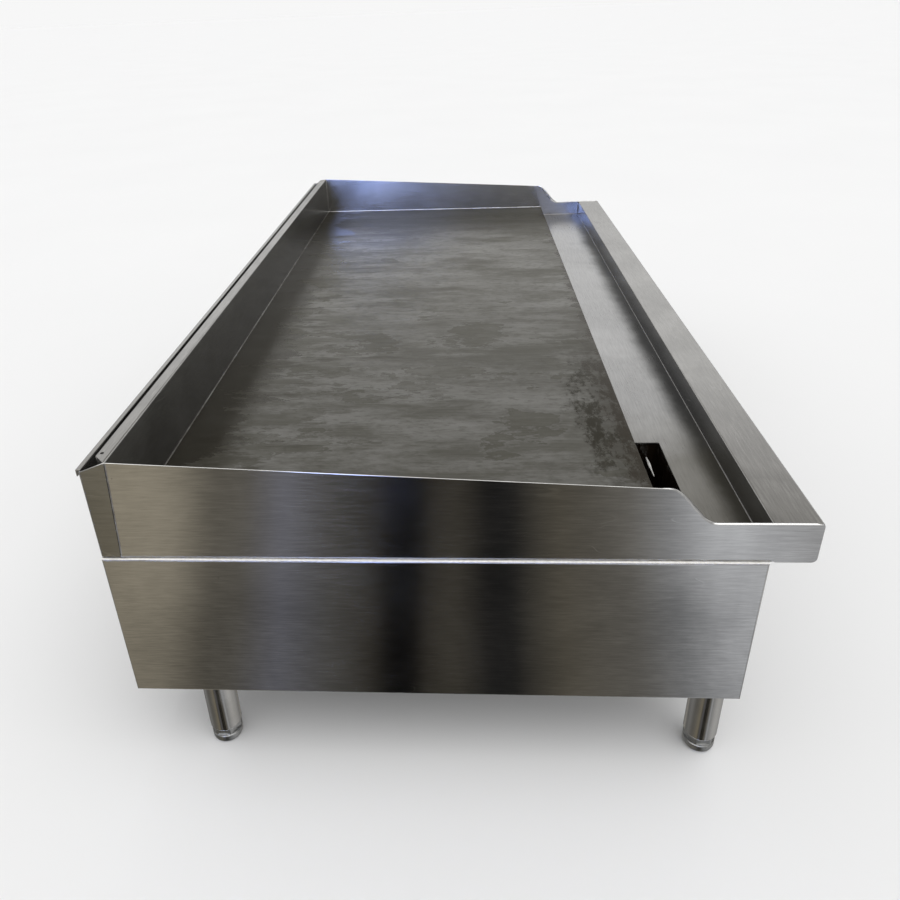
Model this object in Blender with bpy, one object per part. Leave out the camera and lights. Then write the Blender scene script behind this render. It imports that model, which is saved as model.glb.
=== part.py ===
"""Flat top griddle: a gas countertop griddle, 60 in wide with a 24 in deep plate, as its separate pieces.

Blender 4.5, metres, +Z up. Every piece is placed on the bench frame: x runs from the left end, y from
the body's front face towards the back, z up from the floor. The empty griddle_frame carries that frame,
so the finished object stands on z = 0, centred on the world's origin.
"""

import math

import bmesh
import bpy
from mathutils import Matrix, Vector

# Overall size
WIDTH = 1.524
DEPTH = 0.747
BODY_HEIGHT = 0.208
LEG_TUBE_LENGTH = 0.090
FOOT_HEIGHT = 0.025
SPLASH_HEIGHT = 0.127
SPLASH_FRONT_HEIGHT = 0.094

# Sheet metal
SHEET = 0.0015
GAP = 0.0003
FLANGE = 0.025
SPLASH_INSET = 0.0042

# Cooking top, front to back
RAIL_OUT = 0.050
RAIL_INNER_WALL = 0.0032
RAIL_HEIGHT = 0.0485
RAIL_DROP = 0.002
PLATE_FRONT = 0.108
PLATE_DEPTH = 0.6084
PLATE_THICKNESS = 0.0254
PLATE_RISE = 0.035
PLATE_BAR = 0.025
TROUGH_RISE = 0.0132
TROUGH_SHEET = 0.002
SPLASH_SWEEP = (0.062, 0.119)
FLUE_FLANGE = 0.0163
REAR_PANEL_RISE = 0.116

# Drain, chute and grease drawer
DRAIN_X = (0.080, 0.236)
DRAIN_Y = (0.067, 0.105)
CHUTE_BOTTOM = 0.218
DRAWER_X = (0.068, 0.248)
DRAWER_DEPTH = 0.380
DRAWER_BOTTOM = 0.131
DRAWER_HEIGHT = 0.064
DRAWER_FRONT_MARGIN = 0.006
HANDLE_REACH = 0.022
HANDLE_LENGTH = 0.080

# Gas train
BURNERS = 5
FIRST_BURNER_X = 0.263
BURNER_PITCH = 0.291
BURNER_LEG_SPACING = 0.140
BURNER_TUBE = 0.015
BURNER_Z = 0.248
VALVE_Y = 0.038
MANIFOLD_Z = 0.213
MANIFOLD_TUBE = 0.01335
MANIFOLD_WALL = 0.00287
MANIFOLD_START_X = 0.215
SUPPLY_X = 1.480
INLET_OUT = 0.022
KNOB_RADIUS = 0.027
PILOT_Y = 0.150
PILOT_TUBE = 0.003
PILOT_FEED_X = 0.246
PILOT_OFFSET = 0.024

# Legs
LEG_RADIUS = 0.02065
LEG_INSET_X = 0.034
LEG_Y = {"front": 0.027, "rear": 0.655}

BODY_BOTTOM = FOOT_HEIGHT + LEG_TUBE_LENGTH
LEDGE = BODY_BOTTOM + BODY_HEIGHT
PLATE_TOP = LEDGE + PLATE_RISE
PLATE_BOTTOM = PLATE_TOP - PLATE_THICKNESS
PLATE_BACK = PLATE_FRONT + PLATE_DEPTH
RAIL_TOP = LEDGE + RAIL_HEIGHT
RAIL_BOTTOM = LEDGE - RAIL_DROP
SPLASH_TOP = LEDGE + SPLASH_HEIGHT
REAR_PANEL_TOP = LEDGE + REAR_PANEL_RISE
REAR_SPLASH_Y = PLATE_BACK + GAP
INNER_LEFT = SPLASH_INSET + SHEET + GAP
INNER_RIGHT = WIDTH - INNER_LEFT
PLATE_BAR_END = INNER_LEFT + PLATE_BAR + GAP
FLOOR_SHEET_BOTTOM = BODY_BOTTOM + SHEET + GAP
BURNER_XS = [FIRST_BURNER_X + BURNER_PITCH * i for i in range(BURNERS)]
BENCH_ORIGIN = (-WIDTH / 2, (RAIL_OUT - DEPTH - INLET_OUT) / 2, 0)


def clear_scene():
    for thing in list(bpy.data.objects):
        bpy.data.objects.remove(thing, do_unlink=True)


def finish(name, colour, roughness, metallic):
    """A Principled material."""
    made = bpy.data.materials.new(name)
    made.use_nodes = True
    shader = made.node_tree.nodes["Principled BSDF"]
    shader.inputs["Base Color"].default_value = (*colour, 1)
    shader.inputs["Roughness"].default_value = roughness
    shader.inputs["Metallic"].default_value = metallic
    return made


def place(name, shape, look, at=(0, 0, 0), smooth=False):
    """Turns a bmesh, drawn about `at` on the bench frame, into a named object."""
    bmesh.ops.recalc_face_normals(shape, faces=shape.faces)
    mesh = bpy.data.meshes.new(name)
    shape.to_mesh(mesh)
    shape.free()
    if smooth:
        mesh.shade_smooth()
        mesh.set_sharp_from_angle(angle=math.radians(35))
    return place_mesh(name, mesh, look, at)


def place_mesh(name, mesh, look, at):
    """A named object on the bench frame; copies of one piece share a mesh."""
    if not mesh.materials:
        mesh.materials.append(look)
    made = bpy.data.objects.new(name, mesh)
    bpy.context.scene.collection.objects.link(made)
    made.parent = bpy.data.objects["griddle_frame"]
    made.location = at
    return made


def block(low, high):
    """A box between two corners."""
    shape = bmesh.new()
    size = [b - a for a, b in zip(low, high)]
    middle = [(a + b) / 2 for a, b in zip(low, high)]
    bmesh.ops.create_cube(shape, size=1, matrix=Matrix.Translation(middle) @ Matrix.Diagonal((*size, 1)))
    return shape


def prism(outline, axis, low, high):
    """A flat outline pushed along an axis. Its points give the other two coordinates, in X, Y, Z order."""
    shape = bmesh.new()
    along = "xyz".index(axis)
    corners = []
    for point in outline:
        place_at = list(point)
        place_at.insert(along, low)
        corners.append(shape.verts.new(place_at))
    face = shape.faces.new(corners)
    pushed = bmesh.ops.extrude_face_region(shape, geom=[face])
    step = Vector((0, 0, 0))
    step[along] = high - low
    moved = [item for item in pushed["geom"] if isinstance(item, bmesh.types.BMVert)]
    bmesh.ops.translate(shape, verts=moved, vec=step)
    return shape


def tray(low, high, wall, open_side):
    """A folded pan: a box of sheet metal with one side open, given by its outward direction."""
    shape = block(low, high)
    outward = Vector(open_side)
    mouth = max(shape.faces, key=lambda face: face.normal.dot(outward))
    bmesh.ops.inset_region(shape, faces=[mouth], thickness=wall)
    depth = abs((Vector(high) - Vector(low)).dot(outward)) - wall
    pushed = bmesh.ops.extrude_face_region(shape, geom=[mouth])
    bmesh.ops.delete(shape, geom=[mouth], context="FACES_ONLY")
    moved = [item for item in pushed["geom"] if isinstance(item, bmesh.types.BMVert)]
    bmesh.ops.translate(shape, verts=moved, vec=-depth * outward)
    return shape


def turned(profile, axis, sides):
    """A lathe shape about an axis through the origin. The profile's points are (radius, distance along)."""
    shape = bmesh.new()
    rings = []
    for radius, along in profile:
        if radius == 0:
            rings.append([shape.verts.new((0, 0, along))])
            continue
        angles = [2 * math.pi * i / sides for i in range(sides)]
        rings.append([shape.verts.new((radius * math.cos(a), radius * math.sin(a), along)) for a in angles])
    closed = len(rings[0]) > 1
    for first, second in zip(rings, rings[1:] + rings[:1] if closed else rings[1:]):
        bridge(shape, first, second)
    if axis != "z":
        bmesh.ops.transform(shape, matrix=Vector((0, 0, 1)).rotation_difference(
            Vector([letter == axis for letter in "xyz"])).to_matrix(), verts=shape.verts)
    return shape


def bridge(shape, first, second):
    """Faces between two rings of one lathe or pipe, either of which may be a single point."""
    sides = max(len(first), len(second))
    for i in range(sides):
        j = (i + 1) % sides
        corners = [first[i % len(first)], first[j % len(first)], second[j % len(second)], second[i % len(second)]]
        shape.faces.new(list(dict.fromkeys(corners)))


def bent(points, radius, steps=6):
    """A route of straight runs with each inner corner rounded by an arc."""
    route = [Vector(points[0])]
    for before, corner, after in zip(points, points[1:], points[2:]):
        corner = Vector(corner)
        into = (Vector(before) - corner).normalized()
        out = (Vector(after) - corner).normalized()
        half = into.angle(out) / 2
        centre = corner + (into + out).normalized() * radius / math.sin(half)
        start = corner + into * radius / math.tan(half) - centre
        end = corner + out * radius / math.tan(half) - centre
        turn = start.rotation_difference(end)
        for step in range(steps + 1):
            part = turn.copy()
            part.angle = turn.angle * step / steps
            route.append(centre + part @ start)
    route.append(Vector(points[-1]))
    return route


def pipe(route, radii, wall, sides, closed_end):
    """A hollow tube along a route in the XY plane, open at its start and open or closed at its end."""
    shape = bmesh.new()
    up = Vector((0, 0, 1))
    outer, inner = [], []
    for i, point in enumerate(route):
        ahead = (route[min(i + 1, len(route) - 1)] - point).normalized()
        behind = (point - route[max(i - 1, 0)]).normalized()
        heading = (ahead + behind).normalized()
        side = heading.cross(up).normalized()
        shrink = heading * wall if closed_end and i == len(route) - 1 else Vector((0, 0, 0))
        for rings, radius, back in ((outer, radii[i], 0 * heading), (inner, radii[i] - wall, shrink)):
            angles = [2 * math.pi * (k + 0.5) / sides for k in range(sides)]
            rings.append([shape.verts.new(point - back + side * radius * math.cos(a) + up * radius * math.sin(a))
                          for a in angles])
    for rings in (outer, inner):
        for first, second in zip(rings, rings[1:]):
            bridge(shape, first, second)
    bridge(shape, outer[0], inner[0])
    if closed_end:
        shape.faces.new(outer[-1])
        shape.faces.new(inner[-1])
    else:
        bridge(shape, outer[-1], inner[-1])
    return shape


def combine(name, thing, shapes, operation):
    """A Boolean of `thing` with several hidden helper shapes."""
    mesh = bpy.data.meshes.new(name)
    merged = bmesh.new()
    for shape in shapes:
        bmesh.ops.recalc_face_normals(shape, faces=shape.faces)
        piece = bpy.data.meshes.new(name)
        shape.to_mesh(piece)
        shape.free()
        merged.from_mesh(piece)
    merged.to_mesh(mesh)
    merged.free()
    helper = bpy.data.objects.new(name, mesh)
    bpy.context.scene.collection.objects.link(helper)
    helper.parent = bpy.data.objects["griddle_frame"]
    helper.location = thing.location
    helper.hide_render = True
    helper.display_type = "WIRE"
    step = thing.modifiers.new(name, "BOOLEAN")
    step.operation = operation
    step.solver = "EXACT"
    step.object = helper


def rod(axis, centre, radius, low, high, sides=16):
    """A cylinder along an axis. The centre gives the other two coordinates."""
    shape = turned([(0, low), (radius, low), (radius, high), (0, high)], axis, sides)
    offset = list(centre)
    offset.insert("xyz".index(axis), 0)
    bmesh.ops.translate(shape, verts=shape.verts, vec=offset)
    return shape


def arc(centre, radius, start, end, steps=4):
    """Points of a circular arc, angles in degrees."""
    angles = [math.radians(start + (end - start) * i / steps) for i in range(steps + 1)]
    return [(centre[0] + radius * math.cos(a), centre[1] + radius * math.sin(a)) for a in angles]


def side_panels(steel):
    """The lower body's ends: pans folded inwards, whose top flange is the ledge the splashes stand on."""
    for name, low, high, inward in (("left", 0, FLANGE, 1), ("right", WIDTH - FLANGE, WIDTH, -1)):
        shape = tray((low, 0, BODY_BOTTOM), (high, DEPTH, LEDGE), SHEET, (inward, 0, 0))
        place(f"{name}_side_panel", shape, steel)


def rear_panel(steel):
    """The back sheet: between the side panels below the ledge, full width above it, behind the flue."""
    low, high = FLANGE + GAP, WIDTH - FLANGE - GAP
    outline = [
        (low, BODY_BOTTOM), (high, BODY_BOTTOM), (high, LEDGE + GAP), (WIDTH - SPLASH_INSET, LEDGE + GAP),
        (WIDTH - SPLASH_INSET, REAR_PANEL_TOP), (SPLASH_INSET, REAR_PANEL_TOP), (SPLASH_INSET, LEDGE + GAP),
        (low, LEDGE + GAP),
    ]
    sheet = place("rear_panel", prism(outline, "y", DEPTH - SHEET, DEPTH), steel)
    hole = rod("y", (SUPPLY_X, MANIFOLD_Z), MANIFOLD_TUBE + 0.0015, DEPTH - 0.01, DEPTH + 0.01)
    combine("rear_panel_pipe_hole", sheet, [hole], "DIFFERENCE")


def bottom_panel(steel):
    """The floor of the body, with an air intake under each burner."""
    low = (SHEET + GAP, SHEET + GAP, FLOOR_SHEET_BOTTOM)
    high = (WIDTH - SHEET - GAP, DEPTH - SHEET - GAP, FLOOR_SHEET_BOTTOM + SHEET)
    sheet = place("bottom_panel", block(low, high), steel)
    vents = []
    for x in BURNER_XS:
        middle = x - BURNER_LEG_SPACING / 2
        vents.append(block((middle - 0.06, 0.42, BODY_BOTTOM - 0.01), (middle + 0.06, 0.64, BODY_BOTTOM + 0.02)))
    combine("bottom_panel_vents", sheet, vents, "DIFFERENCE")


def control_panel(steel):
    """The front sheet, with a round hole for each valve stem and the drawer's opening."""
    sheet = place("control_panel", block((FLANGE + GAP, 0, BODY_BOTTOM), (WIDTH - FLANGE - GAP, SHEET, LEDGE - 0.0025)),
                  steel)
    cuts = [rod("y", (x, BURNER_Z), 0.006, -0.01, 0.01) for x in BURNER_XS]
    margin = 0.002
    cuts.append(block((DRAWER_X[0] - margin, -0.01, DRAWER_BOTTOM - margin),
                      (DRAWER_X[1] + margin, 0.01, DRAWER_BOTTOM + DRAWER_HEIGHT + margin)))
    combine("control_panel_openings", sheet, cuts, "DIFFERENCE")


def splash_outline():
    """A side splash seen from its end, as (y, z): it caps the rail, sweeps up and rises to the flue."""
    corner = 0.006
    front, bottom = -RAIL_OUT, RAIL_BOTTOM
    outline = [(DEPTH - SHEET - GAP, LEDGE + GAP), (-0.002, LEDGE + GAP), (-0.006, bottom)]
    outline += arc((front + corner, bottom + corner), corner, 270, 180)
    outline += arc((front + corner / 2, RAIL_TOP - corner / 2), corner / 2, 180, 90)
    start, end = SPLASH_SWEEP
    rise = LEDGE + SPLASH_FRONT_HEIGHT - RAIL_TOP
    steps = 12
    for i in range(steps + 1):
        share = i / steps
        outline.append((start + (end - start) * share, RAIL_TOP + rise * (1 - math.cos(math.pi * share)) / 2))
    outline.append((REAR_SPLASH_Y, SPLASH_TOP))
    outline.append((DEPTH - SHEET - GAP, REAR_PANEL_TOP))
    return outline


def splashes(steel):
    """The upstand round three sides of the plate."""
    for name, low in (("left", SPLASH_INSET), ("right", WIDTH - SPLASH_INSET - SHEET)):
        place(f"{name}_side_splash", prism(splash_outline(), "x", low, low + SHEET), steel)
    front, back, lip = REAR_SPLASH_Y, REAR_SPLASH_Y + FLUE_FLANGE, 0.012
    section = [
        (front, LEDGE + GAP), (front, SPLASH_TOP), (back, SPLASH_TOP), (back, SPLASH_TOP - lip),
        (back - SHEET, SPLASH_TOP - lip), (back - SHEET, SPLASH_TOP - SHEET), (front + SHEET, SPLASH_TOP - SHEET),
        (front + SHEET, LEDGE + GAP),
    ]
    place("rear_splash", prism(section, "x", INNER_LEFT, INNER_RIGHT), steel)


def griddle_plate(plate):
    """The cooking surface: one thick steel slab."""
    place("griddle_plate", block((INNER_LEFT, PLATE_FRONT, PLATE_BOTTOM), (INNER_RIGHT, PLATE_BACK, PLATE_TOP)), plate)


def grease_trough(steel):
    """The gutter's floor, folded down at the front behind the control panel, with its drain cut at the left."""
    top, bottom = LEDGE + TROUGH_RISE, LEDGE + TROUGH_RISE - TROUGH_SHEET
    front, fold = SHEET + 2 * GAP, 0.012
    section = [
        (front, top - fold), (front, top), (PLATE_FRONT - GAP, top), (PLATE_FRONT - GAP, bottom),
        (front + TROUGH_SHEET, bottom), (front + TROUGH_SHEET, top - fold),
    ]
    trough = place("grease_trough", prism(section, "x", INNER_LEFT, INNER_RIGHT), steel)
    drain = block((DRAIN_X[0], DRAIN_Y[0], bottom - 0.01), (DRAIN_X[1], DRAIN_Y[1], top + 0.01))
    combine("grease_trough_drain", trough, [drain], "DIFFERENCE")


def front_rail(steel):
    """The flat-topped rail along the front: a folded channel whose back wall is the gutter's front wall."""
    front, back = -RAIL_OUT, RAIL_INNER_WALL
    wall_foot = LEDGE + TROUGH_RISE + GAP
    section = [
        (-GAP, RAIL_BOTTOM), (front, RAIL_BOTTOM), (front, RAIL_TOP), (back, RAIL_TOP), (back, wall_foot),
        (back - SHEET, wall_foot), (back - SHEET, RAIL_TOP - SHEET), (front + SHEET, RAIL_TOP - SHEET),
        (front + SHEET, RAIL_BOTTOM + SHEET), (-GAP, RAIL_BOTTOM + SHEET),
    ]
    place("front_rail", prism(section, "x", INNER_LEFT, INNER_RIGHT), steel)


def grease_chute(steel):
    """The square spout under the drain, ending above the drawer."""
    low = (DRAIN_X[0] - 0.003, DRAIN_Y[0] - 0.003, CHUTE_BOTTOM)
    high = (DRAIN_X[1] + 0.003, PLATE_FRONT - 2 * GAP, LEDGE + TROUGH_RISE - TROUGH_SHEET - GAP)
    shape = block(low, high)
    ends = [face for face in shape.faces if abs(face.normal.z) > 0.9]
    bmesh.ops.inset_individual(shape, faces=ends, thickness=SHEET)
    holes = [face for face in shape.faces if abs(face.normal.z) > 0.9
             and all(low[0] + SHEET / 2 < vert.co.x < high[0] - SHEET / 2 for vert in face.verts)]
    bmesh.ops.bridge_loops(shape, edges=[edge for face in holes for edge in face.edges])
    bmesh.ops.delete(shape, geom=holes, context="FACES_ONLY")
    place("grease_chute", shape, steel)


def grease_drawer(steel):
    """The removable pan under the chute, its front plate and its bow handle. It slides out forwards."""
    low, high = DRAWER_X
    middle = (low + high) / 2
    at = (middle, 0, DRAWER_BOTTOM)
    half = (high - low) / 2
    place("grease_drawer_pan", tray((-half, 0, 0), (half, DRAWER_DEPTH, DRAWER_HEIGHT), 0.0012, (0, 0, 1)), steel, at)
    margin = DRAWER_FRONT_MARGIN
    place("grease_drawer_front", block((-half - margin, -SHEET - GAP, -margin), (half + margin, -GAP, DRAWER_HEIGHT + margin)),
          steel, at)
    reach, strip, reach_in = HANDLE_REACH, 0.003, -SHEET - 2 * GAP
    end = HANDLE_LENGTH / 2
    outline = [(-end, reach_in)] + arc((-end + 0.006, reach_in - reach + 0.006), 0.006, 180, 270)
    outline += arc((end - 0.006, reach_in - reach + 0.006), 0.006, 270, 360) + [(end, reach_in)]
    outline += [(end - strip, reach_in)] + arc((end - 0.006, reach_in - reach + 0.006), 0.003, 360, 270)
    outline += arc((-end + 0.006, reach_in - reach + 0.006), 0.003, 270, 180) + [(-end + strip, reach_in)]
    place("grease_drawer_handle", prism(outline, "z", 0.022, 0.042), steel, at)


def drawer_runners(steel):
    """A folded rail each side of the drawer, standing on the floor of the body."""
    foot, ledge, top = FLOOR_SHEET_BOTTOM + SHEET + GAP, DRAWER_BOTTOM - GAP, DRAWER_BOTTOM + 0.032
    for name, wall, inward in (("left", DRAWER_X[0] - 0.0035, 1), ("right", DRAWER_X[1] + 0.0035, -1)):
        thick, reach = inward * SHEET, inward * 0.018
        section = [(wall, foot), (wall + thick, foot), (wall + thick, ledge - SHEET), (wall + reach, ledge - SHEET),
                   (wall + reach, ledge), (wall + thick, ledge), (wall + thick, top), (wall, top)]
        place(f"{name}_drawer_runner", prism(section, "y", 0.004, 0.400), steel)


def plate_supports(steel):
    """Bars on the side ledges and angles across the front and the back, which carry the slab."""
    top, wide = PLATE_BOTTOM - GAP, PLATE_BAR
    front, back = PLATE_FRONT + 0.004, PLATE_BACK
    for name, low in (("left", INNER_LEFT), ("right", INNER_RIGHT - wide)):
        place(f"{name}_plate_support", block((low, front, LEDGE + GAP), (low + wide, back, top)), steel)
    left, right = PLATE_BAR_END, WIDTH - PLATE_BAR_END
    web, thick = 0.040, 0.003
    for name, heel, into in (("front", front, 1), ("rear", back, -1)):
        section = [(heel, top - web), (heel + into * thick, top - web), (heel + into * thick, top - thick),
                   (heel + into * wide, top - thick), (heel + into * wide, top), (heel, top)]
        place(f"{name}_plate_support", prism(section, "x", left, right), steel)


def heat_shield(steel):
    """The sheet between the burner box and the controls, open round the drawer and every pipe through it."""
    front = 0.125
    low = (PLATE_BAR_END, front, FLOOR_SHEET_BOTTOM + SHEET + GAP)
    high = (WIDTH - PLATE_BAR_END, front + 0.0012, PLATE_BOTTOM - 0.004)
    sheet = place("front_heat_shield", block(low, high), steel)
    behind = (front - 0.01, front + 0.01)
    cuts = [rod("y", (x, BURNER_Z), BURNER_TUBE + 0.003, *behind) for x in BURNER_XS]
    cuts.append(rod("y", (SUPPLY_X, MANIFOLD_Z), MANIFOLD_TUBE + 0.002, *behind))
    cuts.append(rod("y", (PILOT_FEED_X, MANIFOLD_Z), PILOT_TUBE + 0.002, *behind))
    cuts.append(block((DRAWER_X[0] - 0.008, behind[0], BODY_BOTTOM - 0.01),
                      (DRAWER_X[1] + 0.008, behind[1], DRAWER_BOTTOM + DRAWER_HEIGHT + 0.004)))
    combine("front_heat_shield_openings", sheet, cuts, "DIFFERENCE")


def burner_rests(steel):
    """Flat bars from end to end that the burners lie on."""
    top = BURNER_Z - BURNER_TUBE - GAP
    for name, front in (("front", 0.175), ("rear", 0.600)):
        place(f"{name}_burner_rest", block((SHEET + GAP, front, top - 0.004), (WIDTH - SHEET - GAP, front + 0.030, top)),
              steel)


def gas_manifold(iron):
    """The pipe behind the control panel that feeds the valves, then runs back and out to the gas supply."""
    route = bent([(MANIFOLD_START_X, VALVE_Y, 0), (SUPPLY_X, VALVE_Y, 0), (SUPPLY_X, DEPTH + INLET_OUT, 0)], 0.035)
    route.reverse()
    shape = pipe(route, [MANIFOLD_TUBE] * len(route), MANIFOLD_WALL, 16, True)
    place("gas_manifold", shape, iron, (0, 0, MANIFOLD_Z), smooth=True)


def burners(steel):
    """U-shaped tube burners, each with a flared air mouth facing its valve and its far end closed."""
    mouth, turn = 0.082, BURNER_LEG_SPACING / 2
    route = bent([(0, mouth, 0), (0, 0.690, 0), (-BURNER_LEG_SPACING, 0.690, 0), (-BURNER_LEG_SPACING, 0.160, 0)], turn - 0.0005)
    route.insert(1, Vector((0, mouth + 0.008, 0)))
    route.insert(2, Vector((0, mouth + 0.028, 0)))
    flare = [0.019, 0.0185, BURNER_TUBE]
    radii = flare + [BURNER_TUBE] * (len(route) - len(flare))
    first = place("burner_1", pipe(route, radii, SHEET, 10, True), steel, (BURNER_XS[0], 0, BURNER_Z), smooth=True)
    for number, x in enumerate(BURNER_XS[1:], 2):
        place_mesh(f"burner_{number}", first.data, steel, (x, 0, BURNER_Z))


def burner_valves(brass):
    """Taper-plug gas valves: a turned body with its orifice at the back and a threaded foot on the manifold."""
    foot_top, foot_bottom = -0.008, MANIFOLD_Z + MANIFOLD_TUBE + GAP - BURNER_Z
    profile = [(0, -0.028), (0.008, -0.028), (0.008, -0.022), (0.011, -0.022), (0.011, 0.020), (0.006, 0.022),
               (0.006, 0.030), (0.0035, 0.036), (0, 0.036)]
    for number, x in enumerate(BURNER_XS, 1):
        valve = place(f"gas_valve_{number}", turned(profile, "y", 16), brass, (x, VALVE_Y, BURNER_Z), smooth=True)
        combine(f"gas_valve_{number}_foot", valve, [rod("z", (0, 0), 0.007, foot_bottom, foot_top, 12)], "UNION")


def valve_stems(brass):
    """The plug's shaft, which turns with its knob. Its origin is on the turning axis."""
    profile = [(0, -0.0022), (0.004, -0.0022), (0.004, 0.0097), (0, 0.0097)]
    first = None
    for number, x in enumerate(BURNER_XS, 1):
        name, at = f"valve_stem_{number}", (x, 0, BURNER_Z)
        if first is None:
            first = place(name, turned(profile, "y", 12), brass, at, smooth=True)
        else:
            place_mesh(name, first.data, brass, at)


def knobs(plastic):
    """Control knobs: a round skirt with a bar grip that stands upright when the burner is off."""
    back, skirt, face = -0.0025, -0.009, -0.032
    profile = [(0, back), (KNOB_RADIUS, back), (KNOB_RADIUS, skirt + 0.002), (KNOB_RADIUS - 0.002, skirt),
               (0.019, skirt - 0.003), (0, skirt - 0.003)]
    for number, x in enumerate(BURNER_XS, 1):
        knob = place(f"control_knob_{number}", turned(profile, "y", 24), plastic, (x, 0, BURNER_Z), smooth=True)
        half_wide, half_long, draft = 0.0065, 0.022, 0.0015
        outline = [(half_wide, skirt - 0.001), (half_wide - draft, face), (draft - half_wide, face),
                   (-half_wide, skirt - 0.001)]
        combine(f"control_knob_{number}_grip", knob, [prism(outline, "z", -half_long, half_long)], "UNION")


def pilots(brass, steel):
    """The small pilot line behind the heat shield and a pilot beside each burner's mouth."""
    end_x = BURNER_XS[-1] + PILOT_OFFSET + 0.005
    start_y = VALVE_Y + MANIFOLD_TUBE + GAP
    route = bent([(PILOT_FEED_X, start_y, 0), (PILOT_FEED_X, PILOT_Y, 0), (end_x, PILOT_Y, 0)], 0.012, 4)
    place("pilot_gas_line", pipe(route, [PILOT_TUBE] * len(route), 0.001, 8, True), brass, (0, 0, MANIFOLD_Z), smooth=True)
    profile = [(0, 0.0033), (0.004, 0.0033), (0.004, 0.036), (0.007, 0.040), (0.007, 0.048), (0, 0.048)]
    first = None
    for number, x in enumerate(BURNER_XS, 1):
        name, at = f"pilot_burner_{number}", (x + PILOT_OFFSET, PILOT_Y, MANIFOLD_Z)
        if first is None:
            first = place(name, turned(profile, "z", 12), steel, at, smooth=True)
        else:
            place_mesh(name, first.data, steel, at)


def legs(steel, foot_metal):
    """Tube legs closed at the top, and the threaded feet that screw down out of them."""
    bore, collar, stem = 0.0085, 0.022, 0.0078
    top = LEG_TUBE_LENGTH - GAP
    tube = [(0, top - 0.003), (LEG_RADIUS - SHEET, top - 0.003), (LEG_RADIUS - SHEET, collar), (bore, collar),
            (bore, 0), (LEG_RADIUS, 0), (LEG_RADIUS, top), (0, top)]
    height = -GAP
    foot = [(0, -FOOT_HEIGHT), (0.0165, -FOOT_HEIGHT), (LEG_RADIUS - 0.001, -FOOT_HEIGHT + 0.004),
            (LEG_RADIUS - 0.001, height), (stem, height), (stem, 0.062), (0, 0.062)]
    first_tube, first_foot = None, None
    for end, y in LEG_Y.items():
        for side, x in (("left", LEG_INSET_X), ("right", WIDTH - LEG_INSET_X)):
            at = (x, y, FOOT_HEIGHT)
            if first_tube is None:
                first_tube = place(f"{end}_{side}_leg", turned(tube, "z", 24), steel, at, smooth=True)
                first_foot = place(f"{end}_{side}_foot", turned(foot, "z", 24), foot_metal, at, smooth=True)
            else:
                place_mesh(f"{end}_{side}_leg", first_tube.data, steel, at)
                place_mesh(f"{end}_{side}_foot", first_foot.data, foot_metal, at)


clear_scene()
frame = bpy.data.objects.new("griddle_frame", None)
bpy.context.scene.collection.objects.link(frame)
frame.location = BENCH_ORIGIN

stainless = finish("stainless", (0.50, 0.49, 0.47), 0.32, 1.0)
seasoned = finish("seasoned_plate", (0.16, 0.15, 0.13), 0.42, 0.9)
galvanised = finish("galvanised", (0.52, 0.53, 0.54), 0.45, 1.0)
black_iron = finish("black_iron", (0.06, 0.06, 0.06), 0.55, 0.6)
brass = finish("brass", (0.72, 0.55, 0.27), 0.35, 1.0)
black_plastic = finish("black_plastic", (0.02, 0.02, 0.02), 0.40, 0.0)

side_panels(stainless)
rear_panel(stainless)
bottom_panel(galvanised)
control_panel(stainless)
splashes(stainless)
griddle_plate(seasoned)
grease_trough(stainless)
front_rail(stainless)
grease_chute(stainless)
grease_drawer(stainless)
drawer_runners(galvanised)
plate_supports(galvanised)
heat_shield(galvanised)
burner_rests(galvanised)
gas_manifold(black_iron)
burners(galvanised)
burner_valves(brass)
valve_stems(brass)
knobs(black_plastic)
pilots(brass, galvanised)
legs(stainless, galvanised)
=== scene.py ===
"""Looks of the flat top griddle: folded stainless sheet, a seasoned plate and the gas train.

Blender 4.5, metres, +Z up. The frame's own boxes give every place; the few extra sizes are named below.
"""

import math
import random

import bmesh
import bpy
from mathutils import Matrix, Vector


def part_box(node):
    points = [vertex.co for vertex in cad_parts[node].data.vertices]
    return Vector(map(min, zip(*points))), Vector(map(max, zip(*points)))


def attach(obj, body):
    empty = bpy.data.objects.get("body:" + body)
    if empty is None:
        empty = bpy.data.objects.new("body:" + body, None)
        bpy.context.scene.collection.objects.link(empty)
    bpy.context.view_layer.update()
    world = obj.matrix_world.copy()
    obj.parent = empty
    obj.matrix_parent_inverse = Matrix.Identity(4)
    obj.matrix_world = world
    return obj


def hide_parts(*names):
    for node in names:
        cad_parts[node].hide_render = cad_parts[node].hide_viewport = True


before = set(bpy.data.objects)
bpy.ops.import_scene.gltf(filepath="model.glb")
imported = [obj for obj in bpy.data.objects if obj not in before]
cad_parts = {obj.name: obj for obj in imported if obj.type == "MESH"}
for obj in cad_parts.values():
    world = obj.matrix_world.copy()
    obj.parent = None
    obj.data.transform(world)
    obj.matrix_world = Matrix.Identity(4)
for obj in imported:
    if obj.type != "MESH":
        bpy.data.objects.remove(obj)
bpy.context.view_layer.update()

# The body's sheet: its thickness, the outer radius of its bends and of its cut edges
SHEET = 0.0015
BEND = 0.0032
EDGE = 0.00035

# Each end's name, and which way along X is inwards there
SIDES = (("left", 1), ("right", -1))
BURNERS = range(1, 6)

# The side splash's outline: its sweep, measured from the rail's front and foot, and the corner of its cap
SWEEP_START = 0.112
SWEEP_END = 0.169
SWEEP_RISE = 0.096
CAP_CORNER = 0.006

PALE_STEEL = (0.62, 0.61, 0.59)
BACKDROP = (0.93, 0.93, 0.93)


# ---------------------------------------------------------------- outlines and meshes


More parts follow.
